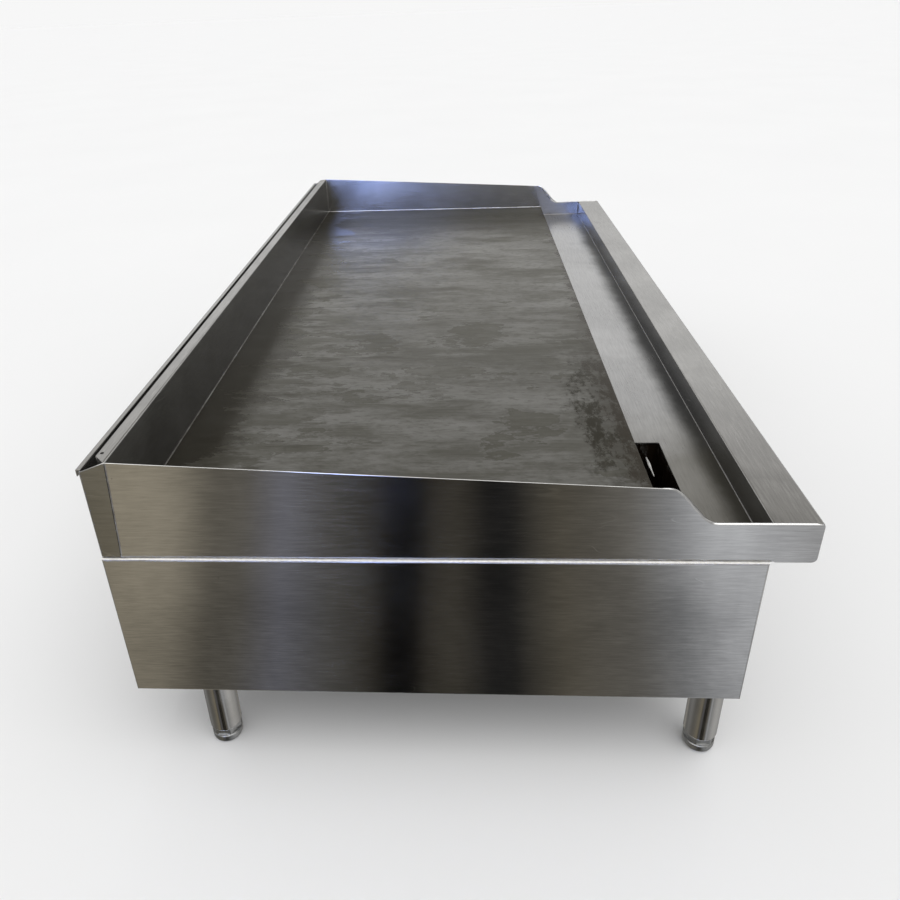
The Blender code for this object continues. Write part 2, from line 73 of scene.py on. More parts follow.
def rounded(outline, radius, steps=5):
    """A closed outline with its corners rounded. The radius is one number, or one for each corner."""
    corners = [Vector(point) for point in outline]
    radii = radius if isinstance(radius, (list, tuple)) else [radius] * len(corners)
    points = []
    for i, corner in enumerate(corners):
        into = corners[i - 1] - corner
        out = corners[(i + 1) % len(corners)] - corner
        half = into.angle(out) / 2
        reach = min(radii[i] / math.tan(half), 0.49 * min(into.length, out.length))
        if reach < 1e-6:
            points.append(corner)
            continue
        size = reach * math.tan(half)
        into.normalize()
        out.normalize()
        centre = corner + (into + out).normalized() * size / math.sin(half)
        start = corner + into * reach - centre
        turn = start.angle_signed(corner + out * reach - centre)
        for step in range(steps + 1):
            points.append(centre + Matrix.Rotation(-turn * step / steps, 2) @ start)
    return points


def folded(outline, thick=SHEET, inner=0.0016):
    """The outline of a folded sheet's section: bends rounded inside and out, cut edges barely."""
    corners = [Vector(point) for point in outline]
    area = sum(a.x * b.y - b.x * a.y for a, b in zip(corners, corners[1:] + corners[:1]))
    radii = []
    for i, corner in enumerate(corners):
        into = corner - corners[i - 1]
        out = corners[(i + 1) % len(corners)] - corner
        if min(into.length, out.length) < 1.3 * thick:
            radii.append(EDGE)
        else:
            convex = (into.x * out.y - into.y * out.x) * area > 0
            radii.append(inner + thick if convex else inner)
    return rounded(outline, radii)


def box_outline(low, high):
    """A rectangle, given by two opposite corners in the plane."""
    return [(low[0], low[1]), (high[0], low[1]), (high[0], high[1]), (low[0], high[1])]


def circle(centre, radius, sides=24):
    """Points round a circle."""
    turns = [2 * math.pi * i / sides for i in range(sides)]
    return [(centre[0] + radius * math.cos(a), centre[1] + radius * math.sin(a)) for a in turns]


def inset(loop, distance):
    """A loop moved towards its left by a distance, corner by corner."""
    moved = []
    for i, point in enumerate(loop):
        into = (point - loop[i - 1]).normalized()
        out = (loop[(i + 1) % len(loop)] - point).normalized()
        left = Vector((-into.y - out.y, into.x + out.x))
        moved.append(point + left * distance / max(0.3, 1 + into.dot(out)))
    return moved


def oriented(points, anticlockwise):
    """A loop without repeated points, running the way asked for."""
    loop = []
    for point in map(Vector, points):
        if not loop or (point - loop[-1]).length > 1e-6:
            loop.append(point)
    if (loop[0] - loop[-1]).length < 1e-6:
        loop.pop()
    area = sum(a.x * b.y - b.x * a.y for a, b in zip(loop, loop[1:] + loop[:1]))
    return loop if (area > 0) == anticlockwise else loop[::-1]


def extruded(loops, axis, low, high, edge=EDGE, steps=2):
    """A solid with rounded rims between two planes across an axis: the outline first, then any holes."""
    shape = bmesh.new()
    along = "xyz".index(axis)
    turns = [math.pi / 2 * k / steps for k in range(steps + 1)] if edge else [math.pi / 2]
    rims = [(edge * (1 - math.cos(turn)), edge * (1 - math.sin(turn))) for turn in turns]
    stations = [(low + depth, narrow) for depth, narrow in rims]
    stations += [(high - depth, narrow) for depth, narrow in reversed(rims)]
    caps = ([], [])
    for number, points in enumerate(loops):
        loop = oriented(points, number == 0)
        rings = []
        for at, narrow in stations:
            ring = []
            for point in inset(loop, narrow):
                place = list(point)
                place.insert(along, at)
                ring.append(shape.verts.new(place))
            rings.append(ring)
        for first, second in zip(rings, rings[1:]):
            bridge(shape, first, second)
        caps[0].append(rings[0])
        caps[1].append(rings[-1])
    for rings in caps:
        if len(rings) == 1:
            shape.faces.new(rings[0])
            continue
        edges = [shape.edges.get(pair) for ring in rings for pair in zip(ring, ring[1:] + ring[:1])]
        bmesh.ops.triangle_fill(shape, use_beauty=True, edges=edges)
    return shape


def bridge(shape, first, second):
    """Faces between two rings, either of which may be a single point."""
    sides = max(len(first), len(second))
    for i in range(sides):
        j = (i + 1) % sides
        corners = [first[i % len(first)], first[j % len(first)]]
        corners += [second[j % len(second)], second[i % len(second)]]
        shape.faces.new(list(dict.fromkeys(corners)))


def turned(profile, axis, at, sides=32):
    """A lathe shape about an axis through a point. The profile's points are (radius, distance along)."""
    shape = bmesh.new()
    rings = []
    for radius, along in profile:
        if radius == 0:
            rings.append([shape.verts.new((0, 0, along))])
            continue
        rings.append([shape.verts.new((x, y, along)) for x, y in circle((0, 0), radius, sides)])
    following = rings[1:] + (rings[:1] if len(rings[0]) > 1 else [])
    for first, second in zip(rings, following):
        bridge(shape, first, second)
    turn = Vector((0, 0, 1)).rotation_difference(Vector([letter == axis for letter in "xyz"]))
    move = Matrix.Translation(at) @ turn.to_matrix().to_4x4()
    bmesh.ops.transform(shape, matrix=move, verts=shape.verts)
    return shape


def cuboid(low, high):
    """A box between two corners."""
    shape = bmesh.new()
    size = [b - a for a, b in zip(low, high)]
    centre = [(a + b) / 2 for a, b in zip(low, high)]
    bmesh.ops.create_cube(shape, size=1, matrix=Matrix.Translation(centre) @ Matrix.Diagonal((*size, 1)))
    return shape


def slab(low, high, radius=0.0006, steps=2):
    """A box between two corners with every edge rounded."""
    shape = cuboid(low, high)
    bmesh.ops.bevel(shape, geom=shape.edges[:], offset=radius, segments=steps, profile=0.5, affect="EDGES")
    return shape


def pan(low, high, wall, open_side, bend, corners=False):
    """A folded pan, open on one side, with its bends rounded inside and out, and its corners if asked for."""
    shape = cuboid(low, high)
    outward = Vector(open_side)
    mouth = max(shape.faces, key=lambda face: face.normal.dot(outward))
    bmesh.ops.inset_region(shape, faces=[mouth], thickness=wall)
    depth = abs((high - low).dot(outward)) - wall
    pushed = bmesh.ops.extrude_face_region(shape, geom=[mouth])
    bmesh.ops.delete(shape, geom=[mouth], context="FACES_ONLY")
    moved = [item for item in pushed["geom"] if isinstance(item, bmesh.types.BMVert)]
    bmesh.ops.translate(shape, verts=moved, vec=-depth * outward)
    floor = min(vert.co.dot(outward) for vert in shape.verts)
    for level, radius in ((floor + wall, bend - wall), (floor, bend)):
        folds = []
        for edge in shape.edges:
            heights = [vert.co.dot(outward) - level for vert in edge.verts]
            across = abs(heights[0] - heights[1]) < 1e-6
            if min(map(abs, heights)) < 1e-5 and (across or corners):
                folds.append(edge)
        bmesh.ops.bevel(shape, geom=folds, offset=radius, segments=5, profile=0.5, affect="EDGES")
    return shape


def tube(route, radii, sides=16, ends=True):
    """A round bar or pipe along a route, with one radius for each of its points."""
    shape = bmesh.new()
    side = None
    rings = []
    for i, point in enumerate(route):
        heading = (route[min(i + 1, len(route) - 1)] - route[max(i - 1, 0)]).normalized()
        if side is None:
            side = heading.orthogonal().normalized()
        side = (side - heading * side.dot(heading)).normalized()
        up = heading.cross(side)
        rim = circle((0, 0), radii[i], sides)
        rings.append([shape.verts.new(point + side * x + up * y) for x, y in rim])
    for first, second in zip(rings, rings[1:]):
        bridge(shape, first, second)
    if ends:
        shape.faces.new(rings[0])
        shape.faces.new(rings[-1])
    return shape


def pipe(route, outer, inner, sides):
    """A hollow pipe along a route, open at its first end and closed at its last."""
    shape = joined(tube(route, outer, sides, False), tube(route, inner, sides, False))
    shape.verts.ensure_lookup_table()
    half = sides * len(route)
    bridge(shape, shape.verts[:sides], shape.verts[half:half + sides])
    shape.faces.new(shape.verts[half - sides:half])
    shape.faces.new(shape.verts[2 * half - sides:])
    return shape


def ring_bar(ring, radii, sides, top=1.0):
    """A round bar along a level ring, with a radius for each of its points, flat above a height over them."""
    shape = bmesh.new()
    up = Vector((0, 0, 1))
    rings = []
    for i, point in enumerate(ring):
        side = (ring[(i + 1) % len(ring)] - ring[i - 1]).normalized().cross(up)
        rim = circle((0, 0), radii[i], sides)
        rings.append([shape.verts.new(point + side * x + up * min(y, top)) for x, y in rim])
    for first, second in zip(rings, rings[1:] + rings[:1]):
        bridge(shape, first, second)
    return shape


def bent(points, radius, steps=8):
    """A route of straight runs with each inner corner rounded by an arc."""
    route = [Vector(points[0])]
    for before, corner, after in zip(points, points[1:], points[2:]):
        corner = Vector(corner)
        into = (Vector(before) - corner).normalized()
        out = (Vector(after) - corner).normalized()
        half = into.angle(out) / 2
        centre = corner + (into + out).normalized() * radius / math.sin(half)
        start = corner + into * radius / math.tan(half) - centre
        end = corner + out * radius / math.tan(half) - centre
        turn = start.rotation_difference(end)
        for step in range(steps + 1):
            part = turn.copy()
            part.angle = turn.angle * step / steps
            route.append(centre + part @ start)
    route.append(Vector(points[-1]))
    return route


def joined(*shapes):
    """One bmesh of several separate ones."""
    whole = shapes[0]
    for shape in shapes[1:]:
        mesh = bpy.data.meshes.new("part")
        shape.to_mesh(mesh)
        shape.free()
        whole.from_mesh(mesh)
        bpy.data.meshes.remove(mesh)
    return whole


def piece(name, shape, looks, body="body", stands_for=(), crease=42):
    """Turns a bmesh into a named piece that rides on a body and stands for CAD nodes."""
    bmesh.ops.recalc_face_normals(shape, faces=shape.faces)
    mesh = bpy.data.meshes.new(name)
    shape.to_mesh(mesh)
    shape.free()
    mesh.shade_smooth()
    mesh.set_sharp_from_angle(angle=math.radians(crease))
    for look in looks if isinstance(looks, (list, tuple)) else [looks]:
        mesh.materials.append(look)
    made = bpy.data.objects.new(name, mesh)
    bpy.context.scene.collection.objects.link(made)
    weights = made.modifiers.new("face weighted normals", "WEIGHTED_NORMAL")
    weights.keep_sharp = True
    weights.weight = 90
    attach(made, body)
    if stands_for:
        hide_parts(*stands_for)
    return made


def paint(made, index, test):
    """Gives one of a piece's materials to the faces that pass a test of (centre, normal)."""
    for face in made.data.polygons:
        if test(face.center, face.normal):
            face.material_index = index


def cut(name, shape, cutters):
    """A bmesh with others cut out of it."""
    whole, tool = bpy.data.meshes.new(name), bpy.data.meshes.new(name + "_tool")
    for mesh, source in ((whole, shape), (tool, joined(*cutters))):
        bmesh.ops.recalc_face_normals(source, faces=source.faces)
        source.to_mesh(mesh)
        source.free()
    base, cutter = bpy.data.objects.new(name, whole), bpy.data.objects.new(name + "_tool", tool)
    for thing in (base, cutter):
        bpy.context.scene.collection.objects.link(thing)
    step = base.modifiers.new("cut", "BOOLEAN")
    step.operation = "DIFFERENCE"
    step.solver = "EXACT"
    step.object = cutter
    bpy.context.view_layer.update()
    result = bmesh.new()
    evaluated = base.evaluated_get(bpy.context.evaluated_depsgraph_get())
    result.from_mesh(evaluated.to_mesh())
    evaluated.to_mesh_clear()
    for thing in (base, cutter):
        mesh = thing.data
        bpy.data.objects.remove(thing)
        bpy.data.meshes.remove(mesh)
    return result


# ---------------------------------------------------------------- shader nodes


def add(kind, inputs, **settings):
    """A shader node with its settings made and its inputs set or linked, in the tree that they come from."""
    links = {key: value for key, value in inputs.items() if isinstance(value, bpy.types.NodeSocket)}
    tree = next(iter(links.values())).id_data
    made = tree.nodes.new(kind)
    for key, value in settings.items():
        setattr(made, key, value)
    for key, value in inputs.items():
        if key in links:
            tree.links.new(value, made.inputs[key])
        else:
            made.inputs[key].default_value = value
    return made


def calc(operation, first, second=0.0, third=0.0):
    """The output of a Math node."""
    return add("ShaderNodeMath", {0: first, 1: second, 2: third}, operation=operation).outputs[0]


def plus(first, second):
    """The sum of two values."""
    return calc("ADD", first, second)


def minus(first, second):
    """The first value less the second."""
    return calc("SUBTRACT", first, second)


def times(first, second):
    """The product of two values."""
    return calc("MULTIPLY", first, second)


def vector_calc(operation, first, second):
    """The output of a Vector Math node."""
    return add("ShaderNodeVectorMath", {0: first, 1: second}, operation=operation).outputs[0]


def coordinates(vector):
    """The three parts of a vector."""
    return add("ShaderNodeSeparateXYZ", {0: vector}).outputs


def fade(value, start, end, low=0.0, high=1.0):
    """A smooth step from `low` at `start` to `high` at `end`."""
    inputs = {"Value": value, "From Min": start, "From Max": end, "To Min": low, "To Max": high}
    return add("ShaderNodeMapRange", inputs, interpolation_type="SMOOTHSTEP").outputs[0]


def noise(vector, scale, detail=3.0, rough=0.5, warp=0.0):
    """The grey output of a Noise texture."""
    inputs = {"Vector": vector, "Scale": scale, "Detail": detail, "Roughness": rough, "Distortion": warp}
    return add("ShaderNodeTexNoise", inputs).outputs[0]


def stretched(place, factors, *settings):
    """A Noise texture on a place whose coordinates are each multiplied by a factor."""
    return noise(vector_calc("MULTIPLY", place, factors), *settings)


def swing(value, middle, reach):
    """A noise made to swing to both sides of nothing."""
    return times(minus(value, middle), reach)


def blend(share, first, second):
    """Two colours mixed by a share."""
    inputs = {0: share}
    for key, colour in ((6, first), (7, second)):
        inputs[key] = (*colour, 1) if isinstance(colour, tuple) else colour
    return add("ShaderNodeMix", inputs, data_type="RGBA").outputs[2]


def material(name, metallic=0.0, roughness=0.5, anisotropic=0.0):
    """A new material, its Principled shader, and the place on the object."""
    made = bpy.data.materials.new(name)
    made.use_nodes = True
    shader = made.node_tree.nodes["Principled BSDF"]
    shader.inputs["Metallic"].default_value = metallic
    shader.inputs["Roughness"].default_value = roughness
    shader.inputs["Anisotropic"].default_value = anisotropic
    return made, shader, made.node_tree.nodes.new("ShaderNodeTexCoord").outputs["Object"]


def dress(shader, colour, roughness=None, heights=()):
    """Links a shader's colour, roughness and bumps. Each height is (value, distance in metres)."""
    tree = shader.id_data
    tree.links.new(colour, shader.inputs["Base Color"])
    if roughness is not None:
        tree.links.new(roughness, shader.inputs["Roughness"])
    normal = None
    for value, distance in heights:
        inputs = {"Height": value, "Distance": distance, "Strength": 1.0}
        if normal is not None:
            inputs["Normal"] = normal
        normal = add("ShaderNodeBump", inputs).outputs[0]
    if normal is not None:
        tree.links.new(normal, shader.inputs["Normal"])


def brushed_steel(name, grain, colour=PALE_STEEL, roughness=0.21, anisotropic=0.9, wear=1.0, soil_and_shade=None):
    """Stainless sheet with its polishing grain along one axis, light smears, scratches and a few pits.

    The last argument is a function of the place and the colour so far, which returns the colour with dirt and
    painted shade on it.
    """
    made, shader, place = material(name, 1.0, roughness, anisotropic)

    def drawn(across, along, *settings):
        return stretched(place, [along if letter == grain else across for letter in "xyz"], *settings)

    hairline = drawn(2600.0, 60.0, 1.0, 2.0, 0.6)
    streak = drawn(420.0, 26.0, 1.0, 3.0, 0.6)
    smear = noise(place, 7.0, 4.0, 0.6, 0.6)
    soft = noise(place, 2.4, 2.0)

    # Scratches are thin wandering lines, where a noise passes through its middle value
    scratch = fade(calc("ABSOLUTE", minus(drawn(40.0, 7.0, 1.0, 1.0), 0.5)), 0.006, 0.0)
    scratch = times(scratch, fade(noise(place, 11.0, 2.0), 0.56, 0.66))
    spots = add("ShaderNodeTexVoronoi", {"Vector": place, "Scale": 42.0}).outputs["Distance"]
    pits = times(fade(spots, 0.036, 0.02), fade(noise(place, 19.0, 1.0), 0.6, 0.66))

    shade = plus(plus(times(streak, 0.16), times(smear, 0.22)), times(hairline, 0.14))
    dull = tuple(0.80 * part for part in colour)
    bright = tuple(min(1.0, 1.20 * part) for part in colour)
    tone = blend(fade(shade, 0.17, 0.35), dull, bright)
    tone = blend(times(scratch, 0.35 * wear), tone, (0.9, 0.89, 0.87))
    tone = blend(times(pits, 0.7 * wear), tone, (0.10, 0.085, 0.07))
    if soil_and_shade:
        tone = soil_and_shade(place, tone)
    rough = plus(plus(swing(smear, 0.5, 0.12), swing(streak, 0.5, 0.10)), roughness)
    heights = [(soft, 0.0010), (streak, 0.000012), (hairline, 0.0000035), (scratch, 0.00002)]
    dress(shader, tone, rough, heights)

    facing = shader.id_data.nodes.new("ShaderNodeNewGeometry").outputs["Normal"]
    direction = [float(letter == grain) for letter in "xyz"]
    shader.id_data.links.new(vector_calc("CROSS_PRODUCT", facing, direction), shader.inputs["Tangent"])
    return made


def trough_sheet(wall, drain_end):
    """The gutter's floor: painted shade along the rail's wall, and browned by grease towards the drain."""

    def soil_and_shade(place, tone):
        parts = coordinates(place)
        patchy = swing(noise(place, 16.0, 4.0, 0.6), 0.5, 0.030)
        painted_shade_distance = minus(minus(parts[1], wall), patchy)
        # Painted shade: the floor darkens to grey within 40 mm of the rail's wall
        tone = blend(fade(painted_shade_distance, 0.040, 0.004, 0.0, 0.88), tone, (0.085, 0.084, 0.082))
        film = plus(minus(parts[0], drain_end), times(patchy, 4.0))
        tone = blend(fade(film, 0.13, -0.05, 0.0, 0.30), tone, (0.30, 0.28, 0.22))
        return blend(fade(film, 0.006, -0.05, 0.0, 0.32), tone, (0.16, 0.14, 0.09))

    return brushed_steel("trough_steel", "x", (0.73, 0.727, 0.722), 0.30, 0.6, 0.6, soil_and_shade)


def plate_stains(place, from_rear, smudge, tone):
    """Oil stains with a pale halo and a dark rim: broad patches, then tongues drawn along the scraping."""
    area = noise(place, 4.2, 2.0, 0.5)
    patches = plus(stretched(place, (1.0, 0.42, 1.0), 13.0, 8.0, 0.66, 0.12), times(area, 0.62))
    rearward = fade(from_rear, 0.30, 0.05, 0.0, 0.115)
    lift = plus(times(area, 0.45), rearward)
    tongues = plus(stretched(place, (1.0, 0.20, 1.0), 30.0, 7.0, 0.64, 0.1), lift)
    edge = 0.872
    for level, strength in ((patches, 0.70), (tongues, 0.62)):
        stain = fade(level, edge, edge + 0.012)
        halo = times(fade(level, edge - 0.030, edge - 0.002), fade(level, edge + 0.002, edge))
        rim = times(fade(level, edge, edge + 0.006), fade(level, edge + 0.026, edge + 0.010))
        worn = fade(smudge, 0.40, 0.60, strength, strength * 0.62)
        tone = blend(times(halo, 0.22), tone, (0.335, 0.332, 0.322))
        tone = blend(times(stain, worn), tone, (0.104, 0.099, 0.075))
        tone = blend(times(rim, 0.40), tone, (0.070, 0.064, 0.046))
    return tone, stain


def plate_burns(place, left, right, front, rear, tone):
    """Oil burnt on along the plate's edges, thickest at the back and by the drain.

    It goes by the distances to the left, right, front and rear edges.
    """
    nearest = calc("MINIMUM", calc("MINIMUM", calc("MINIMUM", left, right), front), rear)
    ragged = swing(stretched(place, (1.0, 0.7, 1.0), 24.0, 7.0, 0.72, 0.1), 0.47, 0.090)
    jagged = swing(stretched(place, (1.0, 0.22, 1.0), 26.0, 7.0, 0.66), 0.50, 0.34)
    scraggy = swing(stretched(place, (0.8, 1.0, 1.0), 20.0, 8.0, 0.74), 0.46, 0.26)
    licking = swing(stretched(place, (1.0, 0.10, 1.0), 34.0, 6.0, 0.60), 0.50, 1.30)
    flaky = stretched(place, (0.55, 1.0, 1.0), 42.0, 8.0, 0.76)

    crust = times(fade(minus(front, ragged), 0.030, 0.016), fade(left, 0.80, 0.28))
    crust = times(crust, fade(flaky, 0.40, 0.60, 1.0, 0.30))
    burnt = calc("MAXIMUM", fade(minus(nearest, ragged), 0.010, -0.004), crust)
    by_drain = times(fade(left, 0.56, 0.36), fade(left, 0.06, 0.20, 0.35, 1.0))
    scorch = times(fade(minus(front, scraggy), 0.070, 0.035), by_drain)
    scorch = times(scorch, fade(flaky, 0.45, 0.57, 1.0, 0.40))
    soft_band = fade(minus(rear, ragged), 0.100, 0.040)
    licks = fade(minus(rear, licking), 0.060, 0.050)
    torn_band = fade(minus(rear, jagged), 0.078, 0.062)

    layers = [
        (fade(left, 1.0, 0.25, 0.0, 0.34), (0.085, 0.083, 0.073)),
        (fade(right, 0.36, 0.12, 0.0, 0.80), (0.056, 0.052, 0.038)),
        (scorch, (0.026, 0.022, 0.011)),
        (times(burnt, 0.78), (0.040, 0.031, 0.020)),
        (times(soft_band, 0.62), (0.036, 0.031, 0.018)),
        (times(licks, 0.42), (0.050, 0.045, 0.032)),
        (times(torn_band, 0.70), (0.036, 0.031, 0.020)),
    ]
    for share, colour in layers:
        tone = blend(share, tone, colour)
    return tone, calc("MAXIMUM", scorch, calc("MAXIMUM", burnt, torn_band))


def seasoned_plate(low, high):
    """The cooking surface: ground steel under baked-on oil, stained, scraped along its depth and burnt."""
    made, shader, place = material("seasoned_plate", 0.62, 0.33, 0.3)
    grind = stretched(place, (46.0, 1.0, 1.0), 9.0, 3.0, 0.65)
    wander = stretched(place, (1.0, 0.34, 1.0), 5.0, 5.0, 0.62, 0.1)
    cloud = stretched(place, (1.0, 0.36, 1.0), 15.0, 8.0, 0.74, 0.15)
    smudge = stretched(place, (1.0, 0.22, 1.0), 26.0, 6.0, 0.70)
    fine = stretched(place, (1.0, 0.32, 1.0), 170.0, 5.0, 0.72)
    speck = noise(place, 900.0, 2.0, 0.6)

    tone = blend(fade(cloud, 0.40, 0.61), (0.117, 0.113, 0.091), (0.262, 0.257, 0.239))
    tone = blend(fade(wander, 0.42, 0.66, 0.0, 0.7), tone, (0.196, 0.191, 0.174))
    tone = blend(fade(smudge, 0.50, 0.64, 0.0, 0.55), tone, (0.330, 0.325, 0.306))
    tone = blend(fade(smudge, 0.47, 0.37, 0.0, 0.60), tone, (0.102, 0.096, 0.078))
    tone = blend(fade(grind, 0.40, 0.72, 0.0, 0.24), tone, (0.345, 0.339, 0.319))
    tone = blend(fade(fine, 0.50, 0.64, 0.0, 0.52), tone, (0.095, 0.089, 0.073))

    x, y, _ = coordinates(place)
    left, right, front, rear = minus(x, low.x), minus(high.x, x), minus(y, low.y), minus(high.y, y)
    tone, stain = plate_stains(place, rear, smudge, tone)
    tone, oily = plate_burns(place, left, right, front, rear, tone)

    level = plus(0.28, times(cloud, 0.18))
    level = minus(minus(level, times(stain, 0.06)), times(oily, 0.15))
    level = plus(level, fade(right, 0.40, 0.10, 0.0, 0.22))
    heights = [(wander, 0.0008), (cloud, 0.0002), (grind, 0.00001), (fine, 0.00003)]
    dress(shader, tone, level, heights + [(speck, 0.000008), (stain, 0.00003)])
    return made


def galvanised_sheet():
    """Zinc-coated sheet with its crystal spangle."""
    made, shader, place = material("galvanised_sheet", 1.0, 0.42)
    crystals = add("ShaderNodeTexVoronoi", {"Vector": place, "Scale": 95.0}).outputs["Color"]
    spangle = add("ShaderNodeSeparateColor", {0: crystals}).outputs[0]
    smear = noise(place, 14.0, 4.0, 0.6)
    tone = blend(spangle, (0.33, 0.34, 0.35), (0.56, 0.57, 0.58))
    tone = blend(fade(smear, 0.45, 0.75, 0.0, 0.4), tone, (0.26, 0.25, 0.23))
    heights = [(spangle, 0.00002), (noise(place, 500.0), 0.00001)]
    dress(shader, tone, fade(spangle, 0.0, 1.0, 0.34, 0.52), heights)
    return made


def polished_tube():
    """Polished stainless tube, ground lightly round its length."""
    made, shader, place = material("polished_tube", 1.0, 0.16)
    rings = stretched(place, (30.0, 30.0, 1500.0), 1.0, 2.0)
    smear = noise(place, 22.0, 4.0, 0.6)
    tone = blend(smear, (0.50, 0.48, 0.44), (0.66, 0.65, 0.63))
    dress(shader, tone, fade(smear, 0.3, 0.7, 0.11, 0.22), [(rings, 0.000004), (noise(place, 60.0), 0.00003)])
    return made


def rough_metal(name, dark, light, roughness, grain_scale, metallic=1.0, depth=0.00006):
    """Cast, drawn or painted metal with a fine uneven surface."""
    made, shader, place = material(name, metallic, roughness)
    grit = noise(place, grain_scale, 4.0, 0.65)
    broad = noise(place, grain_scale / 14, 3.0, 0.6)
    tone = blend(fade(plus(times(grit, 0.5), times(broad, 0.5)), 0.34, 0.66), dark, light)
    dress(shader, tone, fade(broad, 0.3, 0.7, roughness - 0.08, roughness + 0.10), [(grit, depth)])
    return made


def burnt_oil():
    """Thick black grease, run down and set glossy."""
    made, shader, place = material("burnt_oil", 0.0, 0.14)
    runs = stretched(place, (1.0, 1.0, 0.25), 75.0, 4.0, 0.55, 0.8)
    tone = blend(runs, (0.004, 0.0035, 0.003), (0.022, 0.014, 0.008))
    dress(shader, tone, fade(runs, 0.35, 0.7, 0.09, 0.34), [(runs, 0.0018)])
    return made


def knob_plastic():
    """Black phenolic with a fine moulded texture and faint handling marks."""
    made, shader, place = material("knob_plastic", 0.0, 0.42)
    smear = noise(place, 90.0, 4.0, 0.6)
    tone = blend(smear, (0.010, 0.010, 0.010), (0.026, 0.025, 0.024))
    dress(shader, tone, fade(smear, 0.3, 0.7, 0.32, 0.52), [(noise(place, 2200.0, 2.0), 0.00001)])
    return made


def printed_mark():
    """White enamel of the pointer lines and dial marks."""
    made, shader, place = material("printed_mark", 0.0, 0.45)
    dress(shader, blend(noise(place, 700.0, 3.0, 0.6), (0.62, 0.61, 0.58), (0.84, 0.84, 0.82)))
    return made


steel_y = brushed_steel("brushed_steel_across", "y", roughness=0.112)
steel_x = brushed_steel("brushed_steel_along", "x")
# Darker than the sheet beside it, a painted shade, with more scratches and pits as wear
corner_steel = brushed_steel("corner_steel", "y", (0.37, 0.362, 0.335), 0.20, 0.7, 2.0)
scoured_steel = brushed_steel("scoured_steel", "y", roughness=0.18)
# Painted shade: a dark steel for the rail's inner wall, standing in for its shade and dark reflection
painted_shade_wall_steel = brushed_steel("painted_shade_wall_steel", "x", (0.13, 0.129, 0.127), 0.24, 0.85)
# Painted shade: a darker steel for the rear splash's front face
painted_shade_splash_steel = brushed_steel("painted_shade_splash_steel", "x", (0.25, 0.247, 0.243), 0.22, 0.88)
drawer_steel = brushed_steel("drawer_steel", "y", (0.50, 0.48, 0.44), 0.34, 0.5, 1.4)
trough_steel = trough_sheet(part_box("front_rail")[1].y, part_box("grease_chute")[1].x)
galvanised = galvanised_sheet()
leg_steel = polished_tube()
weld = rough_metal("weld_bead", (0.22, 0.20, 0.18), (0.60, 0.59, 0.57), 0.34, 60.0)
seam_steel = rough_metal("seam_steel", (0.34, 0.335, 0.33), (0.50, 0.49, 0.48), 0.30, 120.0, depth=0.00002)
ground_weld = rough_metal("ground_weld", (0.70, 0.69, 0.68), (0.86, 0.86, 0.85), 0.24, 240.0, depth=0.00002)
# Paler and rougher than the sheet, for the bends of the ledge and the splash foot: the roughness spreads their
# reflection, the paler colour is a painted highlight
bend_highlight_steel = rough_metal("bend_highlight_steel", (0.6, 0.585, 0.555), (0.8, 0.785, 0.75), 0.44, 260, depth=0.00002)
grease = burnt_oil()
# Painted highlight: a white colour standing in for a glint inside the drain
glint_white = rough_metal("glint_white", (0.72, 0.71, 0.68), (0.92, 0.92, 0.90), 0.30, 300.0, 0.0)
iron = rough_metal("black_iron", (0.018, 0.017, 0.016), (0.065, 0.060, 0.055), 0.55, 300.0, 0.6)
brass = rough_metal("yellow_brass", (0.46, 0.31, 0.11), (0.78, 0.60, 0.30), 0.30, 260.0)
foot_metal = rough_metal("plated_foot", (0.34, 0.34, 0.33), (0.58, 0.58, 0.57), 0.36, 350.0)
screw_metal = rough_metal("screw_metal", (0.38, 0.37, 0.36), (0.66, 0.65, 0.63), 0.26, 500.0)
plastic = knob_plastic()
enamel = printed_mark()


# ---------------------------------------------------------------- places shared by the pieces


def middle(node):
    """The middle of a node's box."""
    low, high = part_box(node)
    return (low + high) / 2


def stem_centre(number):
    """A valve stem's centre line, as (x, z)."""
    return tuple(middle(f"valve_stem_{number}").xz)


# ---------------------------------------------------------------- sheet metal


def side_panels():
    """The body's ends: pans folded inwards, with a full bend radius round the outer face."""
    for side, inward in SIDES:
        node = f"{side}_side_panel"
        low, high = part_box(node)
        shape = pan(low, high, SHEET, (inward, 0, 0), BEND)
        made = piece(f"{node}_sheet", shape, [steel_y, bend_highlight_steel], stands_for=[node])
        # The ledge's top bend gets the paler steel: a painted highlight line
        paint(made, 1, lambda centre, normal: centre.z > high.z - BEND and normal.z > 0.3)


def sweep_height(share):
    """The height of the side splash's S-shaped sweep, for a share of its length from 0 to 1."""
    foot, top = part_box("front_rail")[1].z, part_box("front_rail")[0].z + SWEEP_RISE
    return foot + (top - foot) * (1 - math.cos(math.pi * share)) / 2


def splash_outline(low, high):
    """A side splash from its end, as (y, z): it caps the rail, sweeps up and rises to the flue."""
    foot = low.z + 0.0023
    front = low.y
    nose = 0.003
    rail_top = sweep_height(0)
    outline = [(high.y, foot), (front + 0.048, foot), (front + 0.044, low.z)]
    for step in range(7):
        turn = math.radians(270 - 90 * step / 6)
        outline.append((front + CAP_CORNER * (1 + math.cos(turn)), low.z + CAP_CORNER * (1 + math.sin(turn))))
    for step in range(5):
        turn = math.radians(180 - 90 * step / 4)
        outline.append((front + nose * (1 + math.cos(turn)), rail_top - nose * (1 - math.sin(turn))))
    steps = 28
    for i in range(steps + 1):
        share = i / steps
        outline.append((front + SWEEP_START + (SWEEP_END - SWEEP_START) * share, sweep_height(share)))
    return outline + [(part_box("rear_splash")[0].y, high.z), (high.y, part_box("rear_panel")[1].z)]


